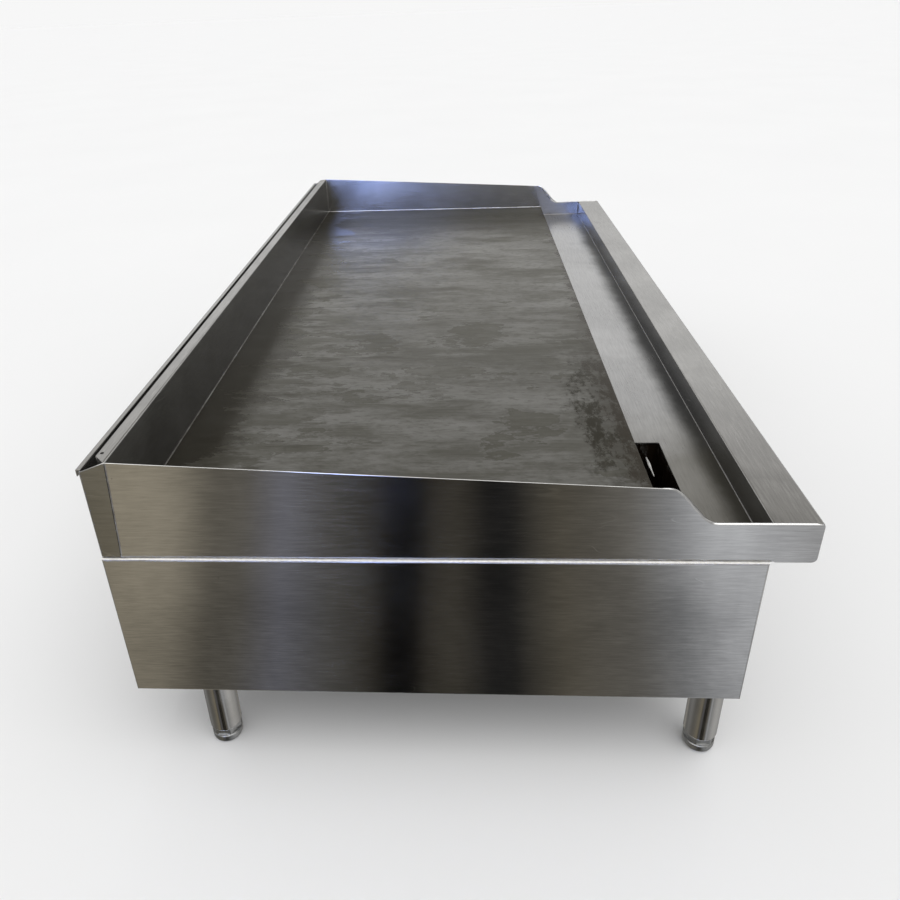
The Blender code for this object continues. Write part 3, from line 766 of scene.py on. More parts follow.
def side_splashes():
    """The upstands at the ends, scoured on the inside, with a paler, rougher fold along the foot, its paler
    colour a painted highlight.
    """
    for side, inward in SIDES:
        node = f"{side}_side_splash"
        low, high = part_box(node)
        shape = extruded([splash_outline(low, high)], "x", low.x, high.x, 0.0006, 3)
        made = piece(f"{node}_sheet", shape, [steel_y, scoured_steel, bend_highlight_steel], stands_for=[node])
        paint(made, 1, lambda centre, normal: normal.x * inward > 0.9)
        paint(made, 2, lambda centre, normal: centre.z < low.z + 0.004 and normal.z < -0.1)


def cap_welds():
    """The ground weld over each rail end and up the sweep, wider than the sheet's own bright edge."""
    steps = 44
    for side, inward in SIDES:
        low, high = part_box(f"{side}_side_splash")
        outer = low.x if inward > 0 else high.x
        start, end = low.y + 0.004, low.y + SWEEP_END + 0.03
        route, radii = [], []
        draw = random.Random(side)
        for i in range(steps + 1):
            y = start + (end - start) * i / steps
            share = min(1.0, max(0.0, (y - low.y - SWEEP_START) / (SWEEP_END - SWEEP_START)))
            swell = 0.0016 * math.sin(math.pi * share) * draw.uniform(0.7, 1.3)
            radius = 0.0006 if i in (0, steps) else 0.0019 * (1 - share) + 0.0008 * share + swell
            route.append(Vector((outer + inward * (radius + 0.0002), y, sweep_height(share) - radius * 0.55)))
            radii.append(radius)
        piece(f"{side}_rail_end_weld", tube(route, radii, 16), ground_weld, crease=80)


def rear_corner_flanges():
    """The back sheet's flange, folded round each rear corner and lapped over the side splash."""
    rear_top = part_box("rear_panel")[1].z - 0.0004
    for side, inward in SIDES:
        low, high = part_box(f"{side}_side_splash")
        face = low.x if inward > 0 else high.x
        top_edge, foot_edge = high.y - 0.0290, high.y - 0.0210
        foot = low.z + 0.0030
        slope = (rear_top + 0.0004 - high.z) / (high.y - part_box("rear_splash")[0].y)
        top = rear_top - slope * (high.y - top_edge)
        outline = rounded([(foot_edge, foot), (high.y, foot), (high.y, rear_top), (top_edge, top)], 0.0012, 3)
        ends = sorted((face - inward * 0.0001, face - inward * 0.0007))
        # The flange is coloured darker than the splash: painted shade
        piece(f"{side}_rear_corner_flange", extruded([outline], "x", *ends, 0.0003), corner_steel)
        bead, gap = sum(ends) / 2, 0.0009
        line = [Vector((bead, foot_edge - gap, foot + 0.001)), Vector((bead, top_edge - gap, top - 0.001))]
        piece(f"{side}_rear_corner_weld", tube(line, [0.0007, 0.0006], 10), weld)


def rear_splash():
    """The upstand behind the plate: flanged back over the flue, with mitred flange ends and screw holes."""
    low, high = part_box("rear_splash")
    lip = high.z - 0.012
    section = [
        (low.y, low.z), (low.y, high.z), (high.y, high.z), (high.y, lip), (high.y - SHEET, lip),
        (high.y - SHEET, high.z - SHEET), (low.y + SHEET, high.z - SHEET), (low.y + SHEET, low.z),
    ]
    shape = extruded([folded(section, inner=0.001)], "x", low.x, high.x)
    for vert in shape.verts:
        behind = max(0.0, vert.co.y - low.y - SHEET)
        inward = 1 if vert.co.x < 0 else -1
        vert.co.x += inward * behind
    drill = [(0, -0.01), (0.0022, -0.01), (0.0022, 0.01), (0, 0.01)]
    y = (low.y + high.y) / 2 + 0.002
    holes = [turned(drill, "z", (x, y, high.z), 16) for x in (low.x + 0.019, high.x - 0.019)]
    shape = cut("rear_splash_cut", shape, holes)
    made = piece("rear_splash_sheet", shape, [steel_x, painted_shade_splash_steel], stands_for=["rear_splash"])
    # The front face gets the darker steel: painted shade
    paint(made, 1, lambda centre, normal: normal.y < -0.9 and centre.y < low.y + SHEET / 2)


def rear_panel():
    """The back sheet with its hemmed top edge, and the hole for the gas pipe."""
    low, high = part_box("rear_panel")
    pipe_low, pipe_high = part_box("gas_manifold")
    left, right = [corner.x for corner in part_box("control_panel")]
    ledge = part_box("left_side_panel")[1].z + 0.0003
    outline = [
        (left, low.z), (right, low.z), (right, ledge), (high.x, ledge), (high.x, high.z), (low.x, high.z),
        (low.x, ledge), (left, ledge),
    ]
    radius = (pipe_high.z - pipe_low.z) / 2
    hole = circle((pipe_high.x - radius, (pipe_low.z + pipe_high.z) / 2), radius + 0.0015, 32)
    sheet = extruded([rounded(outline, 0.0005, 2), hole], "y", low.y, high.y)
    piece("rear_panel_sheet", sheet, steel_x, stands_for=["rear_panel"])

    inner_low, inner_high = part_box("rear_splash")
    thin = 0.0012
    top, back, foot = high.z + 0.0014, high.y + 0.0042, high.z - 0.007
    inner, under = back - thin, top - thin
    hem = [(low.y, under), (low.y, top), (back, top), (back, foot), (inner, foot), (inner, under)]
    shape = extruded([rounded(hem, 0.0004, 3)], "x", inner_low.x, inner_high.x, 0.0003)
    piece("rear_panel_hem", shape, steel_x)


def front_rail():
    """The flat-topped channel along the front."""
    low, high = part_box("front_rail")
    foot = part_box("grease_trough")[1].z + 0.0003
    rail_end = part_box("control_panel")[0].y - 0.0003
    front, back, under = low.y + SHEET, high.y - SHEET, high.z - SHEET
    section = [
        (rail_end, low.z), (low.y, low.z), (low.y, high.z), (high.y, high.z), (high.y, foot), (back, foot),
        (back, under), (front, under), (front, low.z + SHEET), (rail_end, low.z + SHEET),
    ]
    shape = extruded([folded(section, inner=0.0005)], "x", low.x, high.x)
    made = piece("front_rail_sheet", shape, [steel_x, painted_shade_wall_steel], stands_for=["front_rail"])
    # The inner wall gets the dark steel: painted shade
    paint(made, 1, lambda centre, normal: normal.y > 0.9 and centre.y > high.y - SHEET / 2)


def grease_trough():
    """The gutter's floor with its drain, folded down at the front."""
    low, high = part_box("grease_trough")
    chute_low, chute_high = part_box("grease_chute")
    thick = 0.002
    section = [
        (low.y, low.z), (low.y, high.z), (high.y, high.z), (high.y, high.z - thick),
        (low.y + thick, high.z - thick), (low.y + thick, low.z),
    ]
    shape = extruded([folded(section, thick, 0.0012)], "x", low.x, high.x)
    inside, through = 0.003, 0.02
    front, back = chute_low.y + inside, high.y - 0.0027
    drain = rounded(box_outline((chute_low.x + inside, front), (chute_high.x - inside, back)), 0.002)
    shape = cut("trough_cut", shape, [extruded([drain], "z", low.z - through, high.z + through, 0)])
    piece("grease_trough_sheet", shape, trough_steel, stands_for=["grease_trough"])


def weld_seam(name, start, end, radius, look=weld):
    """A bead of weld between two points, rippled and a little uneven."""
    spacing = 0.007
    draw = random.Random(name)
    start, end = Vector(start), Vector(end)
    count = max(4, round((end - start).length / spacing))
    route, radii = [], []
    for i in range(count + 1):
        stray = Vector([draw.uniform(-1, 1) for _ in range(3)]) * radius * 0.06
        route.append(start.lerp(end, i / count) + stray)
        ripple = 1 + 0.05 * (i % 2) + draw.uniform(-0.05, 0.05)
        radii.append(radius * ripple * (0.6 if i in (0, count) else 1))
    piece(name, tube(route, radii, 8), look, crease=80)


def weld_seams():
    """The beads round the plate and at the ends of the gutter and the rail."""
    low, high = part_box("griddle_plate")
    rail_top, rail_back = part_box("front_rail")[1].z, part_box("front_rail")[1].y
    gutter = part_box("grease_trough")[1].z
    splash_y, splash_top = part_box("rear_splash")[0].y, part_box("rear_splash")[1].z
    top = high.z + 0.0002
    weld_seam("plate_rear_weld", (low.x, high.y, top), (high.x, high.y, top), 0.0008)
    weld_seam("plate_front_weld", (low.x, low.y, gutter), (high.x, low.y, gutter), 0.0009)
    for side, x in (("left", low.x), ("right", high.x)):
        weld_seam(f"plate_{side}_weld", (x, low.y, top), (x, high.y, top), 0.0011, ground_weld)
        corner_top = (x, splash_y, splash_top - 0.003)
        weld_seam(f"rear_corner_{side}_seam", (x, splash_y, top), corner_top, 0.0013, ground_weld)
        weld_seam(f"trough_{side}_weld", (x, rail_back, gutter), (x, low.y, gutter), 0.0013)
        weld_seam(f"rail_{side}_weld", (x, rail_back, gutter), (x, rail_back, rail_top - 0.001), 0.0011)
    start, end = Vector((low.x, rail_back, gutter)), Vector((high.x, rail_back, gutter))
    piece("rail_foot_seam", tube([start, start.lerp(end, 0.5), end], [0.0010] * 3, 12), seam_steel)


def screw(name, at, out=-1, body="body"):
    """A slotted pan-head screw whose head stands out along Y."""
    radius, height = 0.0038, 0.0017
    profile = [
        (0, 0), (radius, 0), (radius, height * 0.35), (radius * 0.86, height * 0.75), (radius * 0.5, height),
        (0, height),
    ]
    head = turned(profile, "z", (0, 0, 0), 20)
    turn = math.radians(random.Random(name).uniform(0, 180))
    slot = slab((-radius * 1.1, -0.0005, height * 0.45), (radius * 1.1, 0.0005, height * 2), 0.0001, 1)
    bmesh.ops.rotate(slot, verts=slot.verts, matrix=Matrix.Rotation(turn, 3, "Z"))
    shape = cut(name + "_cut", head, [slot])
    aim = Vector((0, 0, 1)).rotation_difference(Vector((0, out, 0))).to_matrix().to_4x4()
    bmesh.ops.transform(shape, matrix=Matrix.Translation(at) @ aim, verts=shape.verts)
    piece(name, shape, screw_metal, body=body)


def panel_screws(panel, left, right, y, rows, out):
    """Screws in two rows along a panel. Each row is (name, height)."""
    columns = 6
    for i in range(columns):
        x = left + (right - left) * i / (columns - 1)
        for row, z in rows:
            screw(f"{panel}_screw_{row}_{i + 1}", (x, y, z), out)


def dial_marks(number, face):
    """The printed ticks round the upper half of a dial plate."""
    x, z = stem_centre(number)
    half, rim = 0.0004, 0.0328
    marks = []
    for step in range(11):
        length = 0.0042 if step % 5 == 0 else 0.0026
        mark = slab((-half, face - 0.0010, rim - length), (half, face - 0.0007, rim), 0.0001, 1)
        bmesh.ops.rotate(mark, verts=mark.verts, matrix=Matrix.Rotation(-math.radians(18 * step), 3, "Y"))
        bmesh.ops.translate(mark, verts=mark.verts, vec=(x, 0, z))
        marks.append(mark)
    piece(f"dial_marks_{number}", joined(*marks), enamel)


def control_panel():
    """The front sheet with the drawer's opening, the dial plates round the valve stems and its screws."""
    low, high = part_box("control_panel")
    pan_low, pan_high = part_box("grease_drawer_pan")
    margin = Vector((0.002, 0.002))
    opening = box_outline(pan_low.xz - margin, pan_high.xz + margin)
    loops = [rounded(box_outline(low.xz, high.xz), 0.0008, 2), rounded(opening, 0.0015, 2)]
    for number in BURNERS:
        centre = stem_centre(number)
        loops.append(circle(centre, 0.006, 24))
        rims = [circle(centre, 0.0335, 64), circle(centre, 0.0075, 24)]
        plate = extruded(rims, "y", low.y - 0.0008, low.y - 0.0001, 0.0002)
        piece(f"dial_plate_{number}", plate, steel_x)
    piece("control_panel_sheet", extruded(loops, "y", low.y, high.y), steel_x, stands_for=["control_panel"])
    for number in BURNERS:
        dial_marks(number, low.y)
    rows = (("bottom", low.z + 0.007), ("top", high.z - 0.010))
    panel_screws("control_panel", low.x + 0.012, high.x - 0.012, low.y, rows, -1)


def rear_panel_screws():
    """Screws round the back sheet."""
    low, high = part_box("rear_panel")
    body_low, body_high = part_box("control_panel")
    rows = (("bottom", low.z + 0.010), ("top", body_high.z - 0.012))
    panel_screws("rear_panel", body_low.x + 0.014, body_high.x - 0.014, high.y - 0.0009, rows, 1)


def grease_chute():
    """The square spout under the drain, its inside thick with burnt oil."""
    low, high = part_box("grease_chute")
    outer = rounded(box_outline(low.xy, high.xy), 0.003)
    inner = rounded(box_outline((low.x + SHEET, low.y + SHEET), (high.x - SHEET, high.y - SHEET)), 0.0016)
    shape = extruded([outer, inner], "z", low.z, high.z)
    made = piece("grease_chute_spout", shape, [galvanised, grease], stands_for=["grease_chute"])
    wall = SHEET / 2
    paint(made, 1, lambda centre, normal: all(low[k] + wall < centre[k] < high[k] - wall for k in (0, 1)))


def grease_drips():
    """Runs of grease hanging over the drain's edge, fat at their lower ends."""
    low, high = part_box("grease_chute")
    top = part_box("grease_trough")[1].z - 0.001
    wall = high.y - 0.0032
    drips, steps, margin = 6, 8, 0.010
    draw = random.Random("grease drips")
    shapes = []
    for i in range(drips):
        x = low.x + margin + (high.x - low.x - 2 * margin) * (i + draw.uniform(0.2, 0.8)) / drips
        length = draw.uniform(0.014, 0.036)
        thick = draw.uniform(0.0016, 0.0026)
        route = [Vector((x, wall - thick * 0.2, top - length * k / steps)) for k in range(steps + 1)]
        radii = [thick * (0.75 + 0.5 * (k / steps) ** 2) for k in range(steps)] + [thick * 0.3]
        shapes.append(tube(route, radii, 12))
    piece("grease_drips", joined(*shapes), grease, crease=80)


def chute_wire():
    """A short wire end standing out of the spout's end wall, coloured white as a painted glint."""
    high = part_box("grease_chute")[1]
    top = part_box("grease_trough")[1].z
    root = Vector((high.x - SHEET, high.y - 0.0262, top - 0.0245))
    tip = Vector((high.x - 0.048, high.y - 0.0268, top - 0.0252))
    steps = 14
    route = [root.lerp(tip, i / steps) for i in range(steps + 1)]
    fat = [math.sin(math.pi * min(1.0, i / steps + 0.12)) ** 2 for i in range(steps)]
    radii = [0.0007 + 0.0013 * share for share in fat] + [0.0004]
    piece("chute_wire", tube(route, radii, 16), glint_white, crease=80)


def grease_drawer():
    """The pan with its rolled rim, the front plate, the bow handle and its screws."""
    body = "grease_drawer"
    low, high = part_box("grease_drawer_pan")
    wall, roll = 0.0012, 0.0017
    tray = pan(low, high, wall, (0, 0, 1), 0.004, True)
    piece("grease_drawer_tray", tray, drawer_steel, body, ["grease_drawer_pan"])
    inside = wall + roll * 0.8
    corners = box_outline((low.x + inside, low.y + inside), (high.x - inside, high.y - inside))
    ring = [Vector((point.x, point.y, high.z - roll)) for point in rounded(corners, 0.004)]
    piece("grease_drawer_rim", ring_bar(ring, [roll] * len(ring), 12), drawer_steel, body)

    low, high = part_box("grease_drawer_front")
    face = low.y
    plate = extruded([rounded(box_outline(low.xz, high.xz), 0.004)], "y", low.y, high.y, 0.0005)
    piece("grease_drawer_face", plate, steel_x, body, ["grease_drawer_front"])

    low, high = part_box("grease_drawer_handle")
    strip, outer, inner = 0.003, 0.007, 0.004
    outline = [
        (low.x, high.y), (low.x, low.y), (high.x, low.y), (high.x, high.y), (high.x - strip, high.y),
        (high.x - strip, low.y + strip), (low.x + strip, low.y + strip), (low.x + strip, high.y),
    ]
    bends = [EDGE, outer, outer, EDGE, EDGE, inner, inner, EDGE]
    bow = extruded([rounded(outline, bends, 8)], "z", low.z, high.z, 0.0009, 3)
    piece("grease_drawer_bow", bow, leg_steel, body, ["grease_drawer_handle"])
    for number, x in enumerate((low.x - 0.022, high.x + 0.022), 1):
        screw(f"grease_drawer_screw_{number}", (x, face, (low.z + high.z) / 2), body=body)


def drawer_runners():
    """A folded rail each side of the drawer."""
    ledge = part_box("grease_drawer_pan")[0].z - 0.0003
    for side, inward in SIDES:
        node = f"{side}_drawer_runner"
        low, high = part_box(node)
        wall, reach = (low.x, high.x) if inward > 0 else (high.x, low.x)
        face = wall + inward * SHEET
        section = [
            (wall, low.z), (face, low.z), (face, ledge - SHEET), (reach, ledge - SHEET), (reach, ledge),
            (face, ledge), (face, high.z), (wall, high.z),
        ]
        shape = extruded([rounded(section, 0.0004, 2)], "y", low.y, high.y)
        piece(f"{node}_rail", shape, galvanised, stands_for=[node])


def control_knobs():
    """Moulded knobs: a skirt with a finger groove, a waisted bar grip and a white pointer line."""
    half_wide, half_long, half_mark, thick = 0.0065, 0.022, 0.0008, 0.0065
    for number in BURNERS:
        node = f"control_knob_{number}"
        body = f"knob_{number}"
        low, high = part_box(node)
        centre = (low + high) / 2
        radius = (high.x - low.x) / 2
        skirt = high.y - thick
        profile = [
            (0, thick), (radius - 0.001, thick), (radius, thick - 0.001), (radius, 0.0025),
            (radius - 0.0008, 0.001), (radius - 0.0028, 0), (radius - 0.0042, 0.0004),
            (radius - 0.0058, -0.0004), (0.019, -0.0030), (0.017, -0.0034), (0, -0.0036),
        ]
        shape = turned(profile, "y", (centre.x, skirt, centre.z), 64)
        piece(f"knob_skirt_{number}", shape, plastic, body, [node], 50)

        outline = []
        for step in range(33):
            share = step / 32 * 2 - 1
            waist = 1 - 0.22 * math.cos(share * math.pi / 2) ** 2
            outline.append((half_wide * waist, share * half_long))
        outline += [(-x, z) for x, z in reversed(outline)]
        points = [(centre.x + x, centre.z + z) for x, z in outline]
        grip = extruded([rounded(points, 0.0012, 2)], "y", low.y, skirt - 0.002, 0.0018, 4)
        piece(f"knob_grip_{number}", grip, plastic, body, crease=50)

        left, right = centre.x - half_mark, centre.x + half_mark
        top = centre.z + half_long
        pointer = slab((left, low.y - 0.0001, top - 0.0125), (right, low.y + 0.0006, top - 0.0022), 0.0001, 1)
        piece(f"knob_pointer_{number}", pointer, enamel, body)
        top = centre.z + radius
        line = slab((left, skirt - 0.0003, top - 0.0030), (right, skirt + 0.0010, top - 0.0005), 0.0001, 1)
        piece(f"knob_skirt_mark_{number}", line, enamel, body)


def leg_tube(leg):
    """A polished tube, narrowed at its lower end for the foot's thread, with a weld ring under the body."""
    low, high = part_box(leg)
    x, y = middle(leg).xy
    radius = (high.x - low.x) / 2
    inner, bore = radius - SHEET, 0.0085
    tall, collar = high.z - low.z, 0.022
    cap = tall - 0.003
    profile = [
        (0, cap), (inner, cap), (inner, collar), (bore, collar), (bore, 0.0005), (bore + 0.0005, 0),
        (radius - 0.0012, 0), (radius - 0.0003, 0.0004), (radius, 0.0014), (radius, tall - 0.0010),
        (radius - 0.0008, tall), (0, tall),
    ]
    piece(f"{leg}_tube", turned(profile, "z", (x, y, low.z), 64), leg_steel, stands_for=[leg])
    ring = [Vector((px, py, high.z - 0.0006)) for px, py in circle((x, y), radius - 0.0001, 48)]
    draw = random.Random(leg)
    radii = [0.0009 * draw.uniform(0.85, 1.2) for _ in ring]
    piece(f"{leg}_weld", ring_bar(ring, radii, 8, 0.0005), weld, crease=80)


def foot_adjuster(foot, shoulder):
    """A threaded foot: a rounded base with a groove, spanner flats under its shoulder, and the thread."""
    low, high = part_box(foot)
    x, y = middle(foot).xy
    radius = (high.x - low.x) / 2
    stem, root, pitch = 0.0078, 0.0070, 0.0015
    tall, neck = high.z - low.z, shoulder - low.z
    groove, base = radius - 0.0010, 0.0150
    profile = [
        (0, 0), (radius - 0.0046, 0), (radius - 0.0028, 0.0008), (radius - 0.0008, 0.0030), (radius, 0.0056),
        (radius, base - 0.0030), (groove, base - 0.0020), (groove, base - 0.0010), (radius, base),
        (radius, neck - 0.0008), (radius - 0.0008, neck), (stem, neck),
    ]
    for i in range(int((tall - neck - 0.002) / pitch)):
        at = neck + pitch * i
        profile += [(stem, at + 0.0002), (root, at + pitch / 2), (stem, at + pitch - 0.0002)]
    profile += [(root, tall - 0.0004), (stem - 0.0014, tall), (0, tall)]
    flats = []
    for turn in range(0, 360, 60):
        flat = slab((0.0176, -0.03, base), (0.03, 0.03, neck - 0.0010), 0.0002, 1)
        bmesh.ops.rotate(flat, verts=flat.verts, matrix=Matrix.Rotation(math.radians(turn), 3, "Z"))
        bmesh.ops.translate(flat, verts=flat.verts, vec=(x, y, low.z))
        flats.append(flat)
    shape = cut(foot + "_cut", turned(profile, "z", (x, y, low.z), 48), flats)
    piece(f"{foot}_adjuster", shape, foot_metal, foot, [foot])


def legs():
    """The four legs and their feet."""
    for corner in ("front_left", "front_right", "rear_left", "rear_right"):
        leg_tube(f"{corner}_leg")
        foot_adjuster(f"{corner}_foot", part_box(f"{corner}_leg")[0].z - 0.0003)


# ---------------------------------------------------------------- inside the body


def inner_piece(name, shape, node):
    """A galvanised piece that stands for a node inside the body."""
    piece(name, shape, galvanised, stands_for=[node])


def bottom_panel():
    """The body's floor, with an air intake under each burner."""
    low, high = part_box("bottom_panel")
    loops = [rounded(box_outline(low.xy, high.xy), 0.002)]
    half, front, back = 0.06, low.y + 0.4182, low.y + 0.6382
    for number in BURNERS:
        x = middle(f"burner_{number}").x - 0.002
        loops.append(rounded(box_outline((x - half, front), (x + half, back)), 0.010))
    inner_piece("bottom_panel_sheet", extruded(loops, "z", low.z, high.z), "bottom_panel")


def heat_shield():
    """The sheet behind the valves, open round the drawer, the stems and the gas pipes."""
    low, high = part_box("front_heat_shield")
    pan_low, pan_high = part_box("grease_drawer_pan")
    left, right, top = pan_low.x - 0.008, pan_high.x + 0.008, pan_high.z + 0.004
    outline = [
        (low.x, low.z), (left, low.z), (left, top), (right, top), (right, low.z), (high.x, low.z),
        (high.x, high.z), (low.x, high.z),
    ]
    loops = [rounded(outline, 0.002, 3)]
    for number in BURNERS:
        loops.append(circle(stem_centre(number), 0.018, 32))
    pipe_low, pipe_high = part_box("gas_manifold")
    radius = (pipe_high.z - pipe_low.z) / 2
    loops.append(circle((pipe_high.x - radius, pipe_low.z + radius), radius + 0.002, 32))
    line_low, line_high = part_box("pilot_gas_line")
    radius = (line_high.z - line_low.z) / 2
    loops.append(circle((line_low.x + radius, line_low.z + radius), radius + 0.002, 16))
    inner_piece("heat_shield_sheet", extruded(loops, "y", low.y, high.y), "front_heat_shield")


def plate_bars():
    """The bars and angles that carry the plate, and the burners' rests."""
    for node in ("left_plate_support", "right_plate_support"):
        inner_piece(f"{node}_bar", slab(*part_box(node), 0.0008, 2), node)
    thick = 0.003
    for end, into in (("front", 1), ("rear", -1)):
        node = f"{end}_plate_support"
        low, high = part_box(node)
        heel, toe = (low.y, high.y) if into > 0 else (high.y, low.y)
        web, flange = heel + into * thick, high.z - thick
        section = [(heel, low.z), (web, low.z), (web, flange), (toe, flange), (toe, high.z), (heel, high.z)]
        inner_piece(f"{node}_angle", extruded([folded(section, thick, 0.002)], "x", low.x, high.x), node)
    for node in ("front_burner_rest", "rear_burner_rest"):
        inner_piece(f"{node}_bar", slab(*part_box(node), 0.0008, 2), node)


def burner_ports(name, legs_x, start, z, radius):
    """Two rows of ports leaning out of each leg of a burner."""
    rim = [(0, 0), (0.0017, 0), (0.0017, 0.0006), (0.0011, 0.0006), (0.0009, 0.0001), (0, 0.0001)]
    ports = []
    for leg_x in legs_x:
        for lean in (math.radians(-38), math.radians(38)):
            x, height = leg_x + math.sin(lean) * radius, z + math.cos(lean) * radius
            for i in range(20):
                port = turned(rim, "z", (0, 0, 0), 8)
                place = Matrix.Translation((x, start + 0.021 * i, height)) @ Matrix.Rotation(lean, 4, "Y")
                bmesh.ops.transform(port, matrix=place, verts=port.verts)
                ports.append(port)
    piece(name, joined(*ports), iron)


def tube_burners():
    """U-shaped burners with a flared mouth and two rows of ports along each leg."""
    radius = 0.015
    for number in BURNERS:
        node = f"burner_{number}"
        low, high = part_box(node)
        z = (low.z + high.z) / 2
        near_x, far_x = stem_centre(number)[0], low.x + radius
        start, back = low.y, high.y - radius
        turn = (near_x - far_x) / 2 - 0.0005
        corners = [(near_x, start, z), (near_x, back, z), (far_x, back, z), (far_x, start + 0.078, z)]
        route = bent(corners, turn, 16)
        route[1:1] = [Vector((near_x, start + at, z)) for at in (0.003, 0.008, 0.016, 0.028)]
        radii = [0.0190, 0.0190, 0.0185, 0.0165]
        radii += [radius] * (len(route) - len(radii))
        inner_piece(f"{node}_tube", pipe(route, radii, [size - SHEET for size in radii], 24), node)
        burner_ports(f"{node}_ports", (near_x, far_x), start + 0.11, z, radius - 0.0004)


def gas_manifold():
    """The supply pipe with its threaded inlet at the back."""
    low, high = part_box("gas_manifold")
    radius = (high.z - low.z) / 2
    wall, bend = 0.00287, 0.035
    z, front, supply = low.z + radius, low.y + radius, high.x - radius
    corner = bent([(supply, high.y, z), (supply, front, z), (low.x, front, z)], bend, 12)
    pitch, threads = 0.0018, 9
    route, radii = [corner[0]], [radius - 0.0012]
    for i in range(threads):
        for part, size in ((0.25, radius - 0.0001), (0.75, radius - 0.0011)):
            route.append(corner[0] - Vector((0, pitch * (i + part), 0)))
            radii.append(size)
    route.append(corner[0] - Vector((0, pitch * threads + 0.001, 0)))
    route += corner[1:]
    radii += [radius] * (len(route) - len(radii))
    shape = pipe(route, radii, [radius - wall] * len(route), 32)
    piece("gas_manifold_pipe", shape, iron, stands_for=["gas_manifold"])


def gas_valves():
    """A turned brass body for each burner, with its inlet neck and gland nut."""
    for number in BURNERS:
        node = f"gas_valve_{number}"
        low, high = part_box(node)
        x, z = stem_centre(number)
        size, deep = (high.x - low.x) / 2, high.y - low.y
        profile = [
            (0, 0), (0.0074, 0), (0.008, 0.0006), (0.008, 0.006), (0.0095, 0.0064), (size, 0.008),
            (size, 0.028), (size - 0.0008, 0.029), (size - 0.0008, 0.032), (size, 0.033), (size, 0.047),
            (size - 0.001, 0.048), (0.006, 0.050), (0.006, 0.058), (0.0035, deep - 0.0005), (0.003, deep),
            (0, deep),
        ]
        foot, top = low.z, z - 0.008
        neck = [(0, foot), (0.0066, foot), (0.007, foot + 0.0005), (0.007, top), (0, top)]
        shapes = [turned(profile, "y", (x, low.y, z), 32), turned(neck, "z", (x, low.y + 0.028, 0), 24)]
        shapes.append(extruded([circle((x, z), 0.0108, 6)], "y", low.y + 0.0505, low.y + 0.0555, 0.0004))
        piece(f"{node}_body", joined(*shapes), brass, stands_for=[node])


def pilots():
    """The pilots' gas line, and a tube with a cupped head for each pilot flame."""
    low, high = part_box("pilot_gas_line")
    radius = (high.z - low.z) / 2
    x, back, z = low.x + radius, high.y - radius, low.z + radius
    route = bent([(x, low.y, z), (x, back, z), (high.x, back, z)], 0.012, 8)
    shape = tube(route, [radius] * len(route), 16)
    piece("pilot_gas_line_tube", shape, brass, stands_for=["pilot_gas_line"])
    for number in BURNERS:
        node = f"pilot_burner_{number}"
        low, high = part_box(node)
        x, y = middle(node).xy
        size, tall = (high.x - low.x) / 2, high.z - low.z
        profile = [
            (0, 0), (0.004, 0), (0.004, 0.006), (0.005, 0.0065), (0.005, 0.012), (0.004, 0.0125),
            (0.004, tall - 0.012), (size, tall - 0.008), (size, tall - 0.0006), (size - 0.0006, tall),
            (size - 0.0016, tall), (size - 0.0016, tall - 0.005), (0, tall - 0.005),
        ]
        inner_piece(f"{node}_head", turned(profile, "z", (x, y, low.z), 32), node)


def griddle_plate():
    """The thick plate, with its edges eased."""
    low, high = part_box("griddle_plate")
    shape, look = slab(low, high, 0.0012, 3), seasoned_plate(low, high)
    piece("griddle_plate_slab", shape, look, stands_for=["griddle_plate"])


def valve_stems():
    """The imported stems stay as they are, in brass."""
    for number in BURNERS:
        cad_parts[f"valve_stem_{number}"].material_slots[0].material = brass


side_panels()
side_splashes()
cap_welds()
rear_corner_flanges()
rear_splash()
rear_panel()
rear_panel_screws()
front_rail()
grease_trough()
weld_seams()
control_panel()
grease_chute()
grease_drips()
chute_wire()
grease_drawer()
drawer_runners()
control_knobs()
legs()
bottom_panel()
heat_shield()
plate_bars()
tube_burners()
gas_manifold()
gas_valves()
pilots()
griddle_plate()
valve_stems()


# ---------------------------------------------------------------- studio


def studio_floor():
    """A plain pale floor, which the polished sheet doesn't mirror."""
    shape = bmesh.new()
    bmesh.ops.create_grid(shape, x_segments=1, y_segments=1, size=400)
    mesh = bpy.data.meshes.new("studio_floor")
    shape.to_mesh(mesh)
    shape.free()
    made, shader, place = material("pale_floor", 0.0, 0.9)
    dress(shader, blend(noise(place, 1.2), (0.80, 0.80, 0.80), (0.83, 0.83, 0.83)))
    shader.inputs["Specular IOR Level"].default_value = 0.1
    mesh.materials.append(made)
    floor = bpy.data.objects.new("studio_floor", mesh)
    floor.visible_glossy = False
    bpy.context.scene.collection.objects.link(floor)


def degrees_off(part):
    """The angle between a direction and the plane across an axis, from its part along that axis."""
    return times(calc("ARCSINE", part), 180 / math.pi)


def ramp(angle, *stops):
    """Colours by an angle from -90 to 90 degrees.

    A stop is its angle, then a grey, a grey with its warmth, or a full colour.
    """
    made = add("ShaderNodeValToRGB", {0: calc("MULTIPLY_ADD", angle, 1 / 180, 0.5)})
    band = made.color_ramp
    while len(band.elements) < len(stops):
        band.elements.new(0.5)
    for element, (degrees, *colour) in zip(band.elements, stops):
        if len(colour) < 3:
            level, warm = (*colour, 0.0)[:2]
            colour = (level * (1 + warm / 2), level, level * (1 - warm))
        element.position = (degrees + 90) / 180
        element.color = (*colour, 1)
    return made.outputs[0]


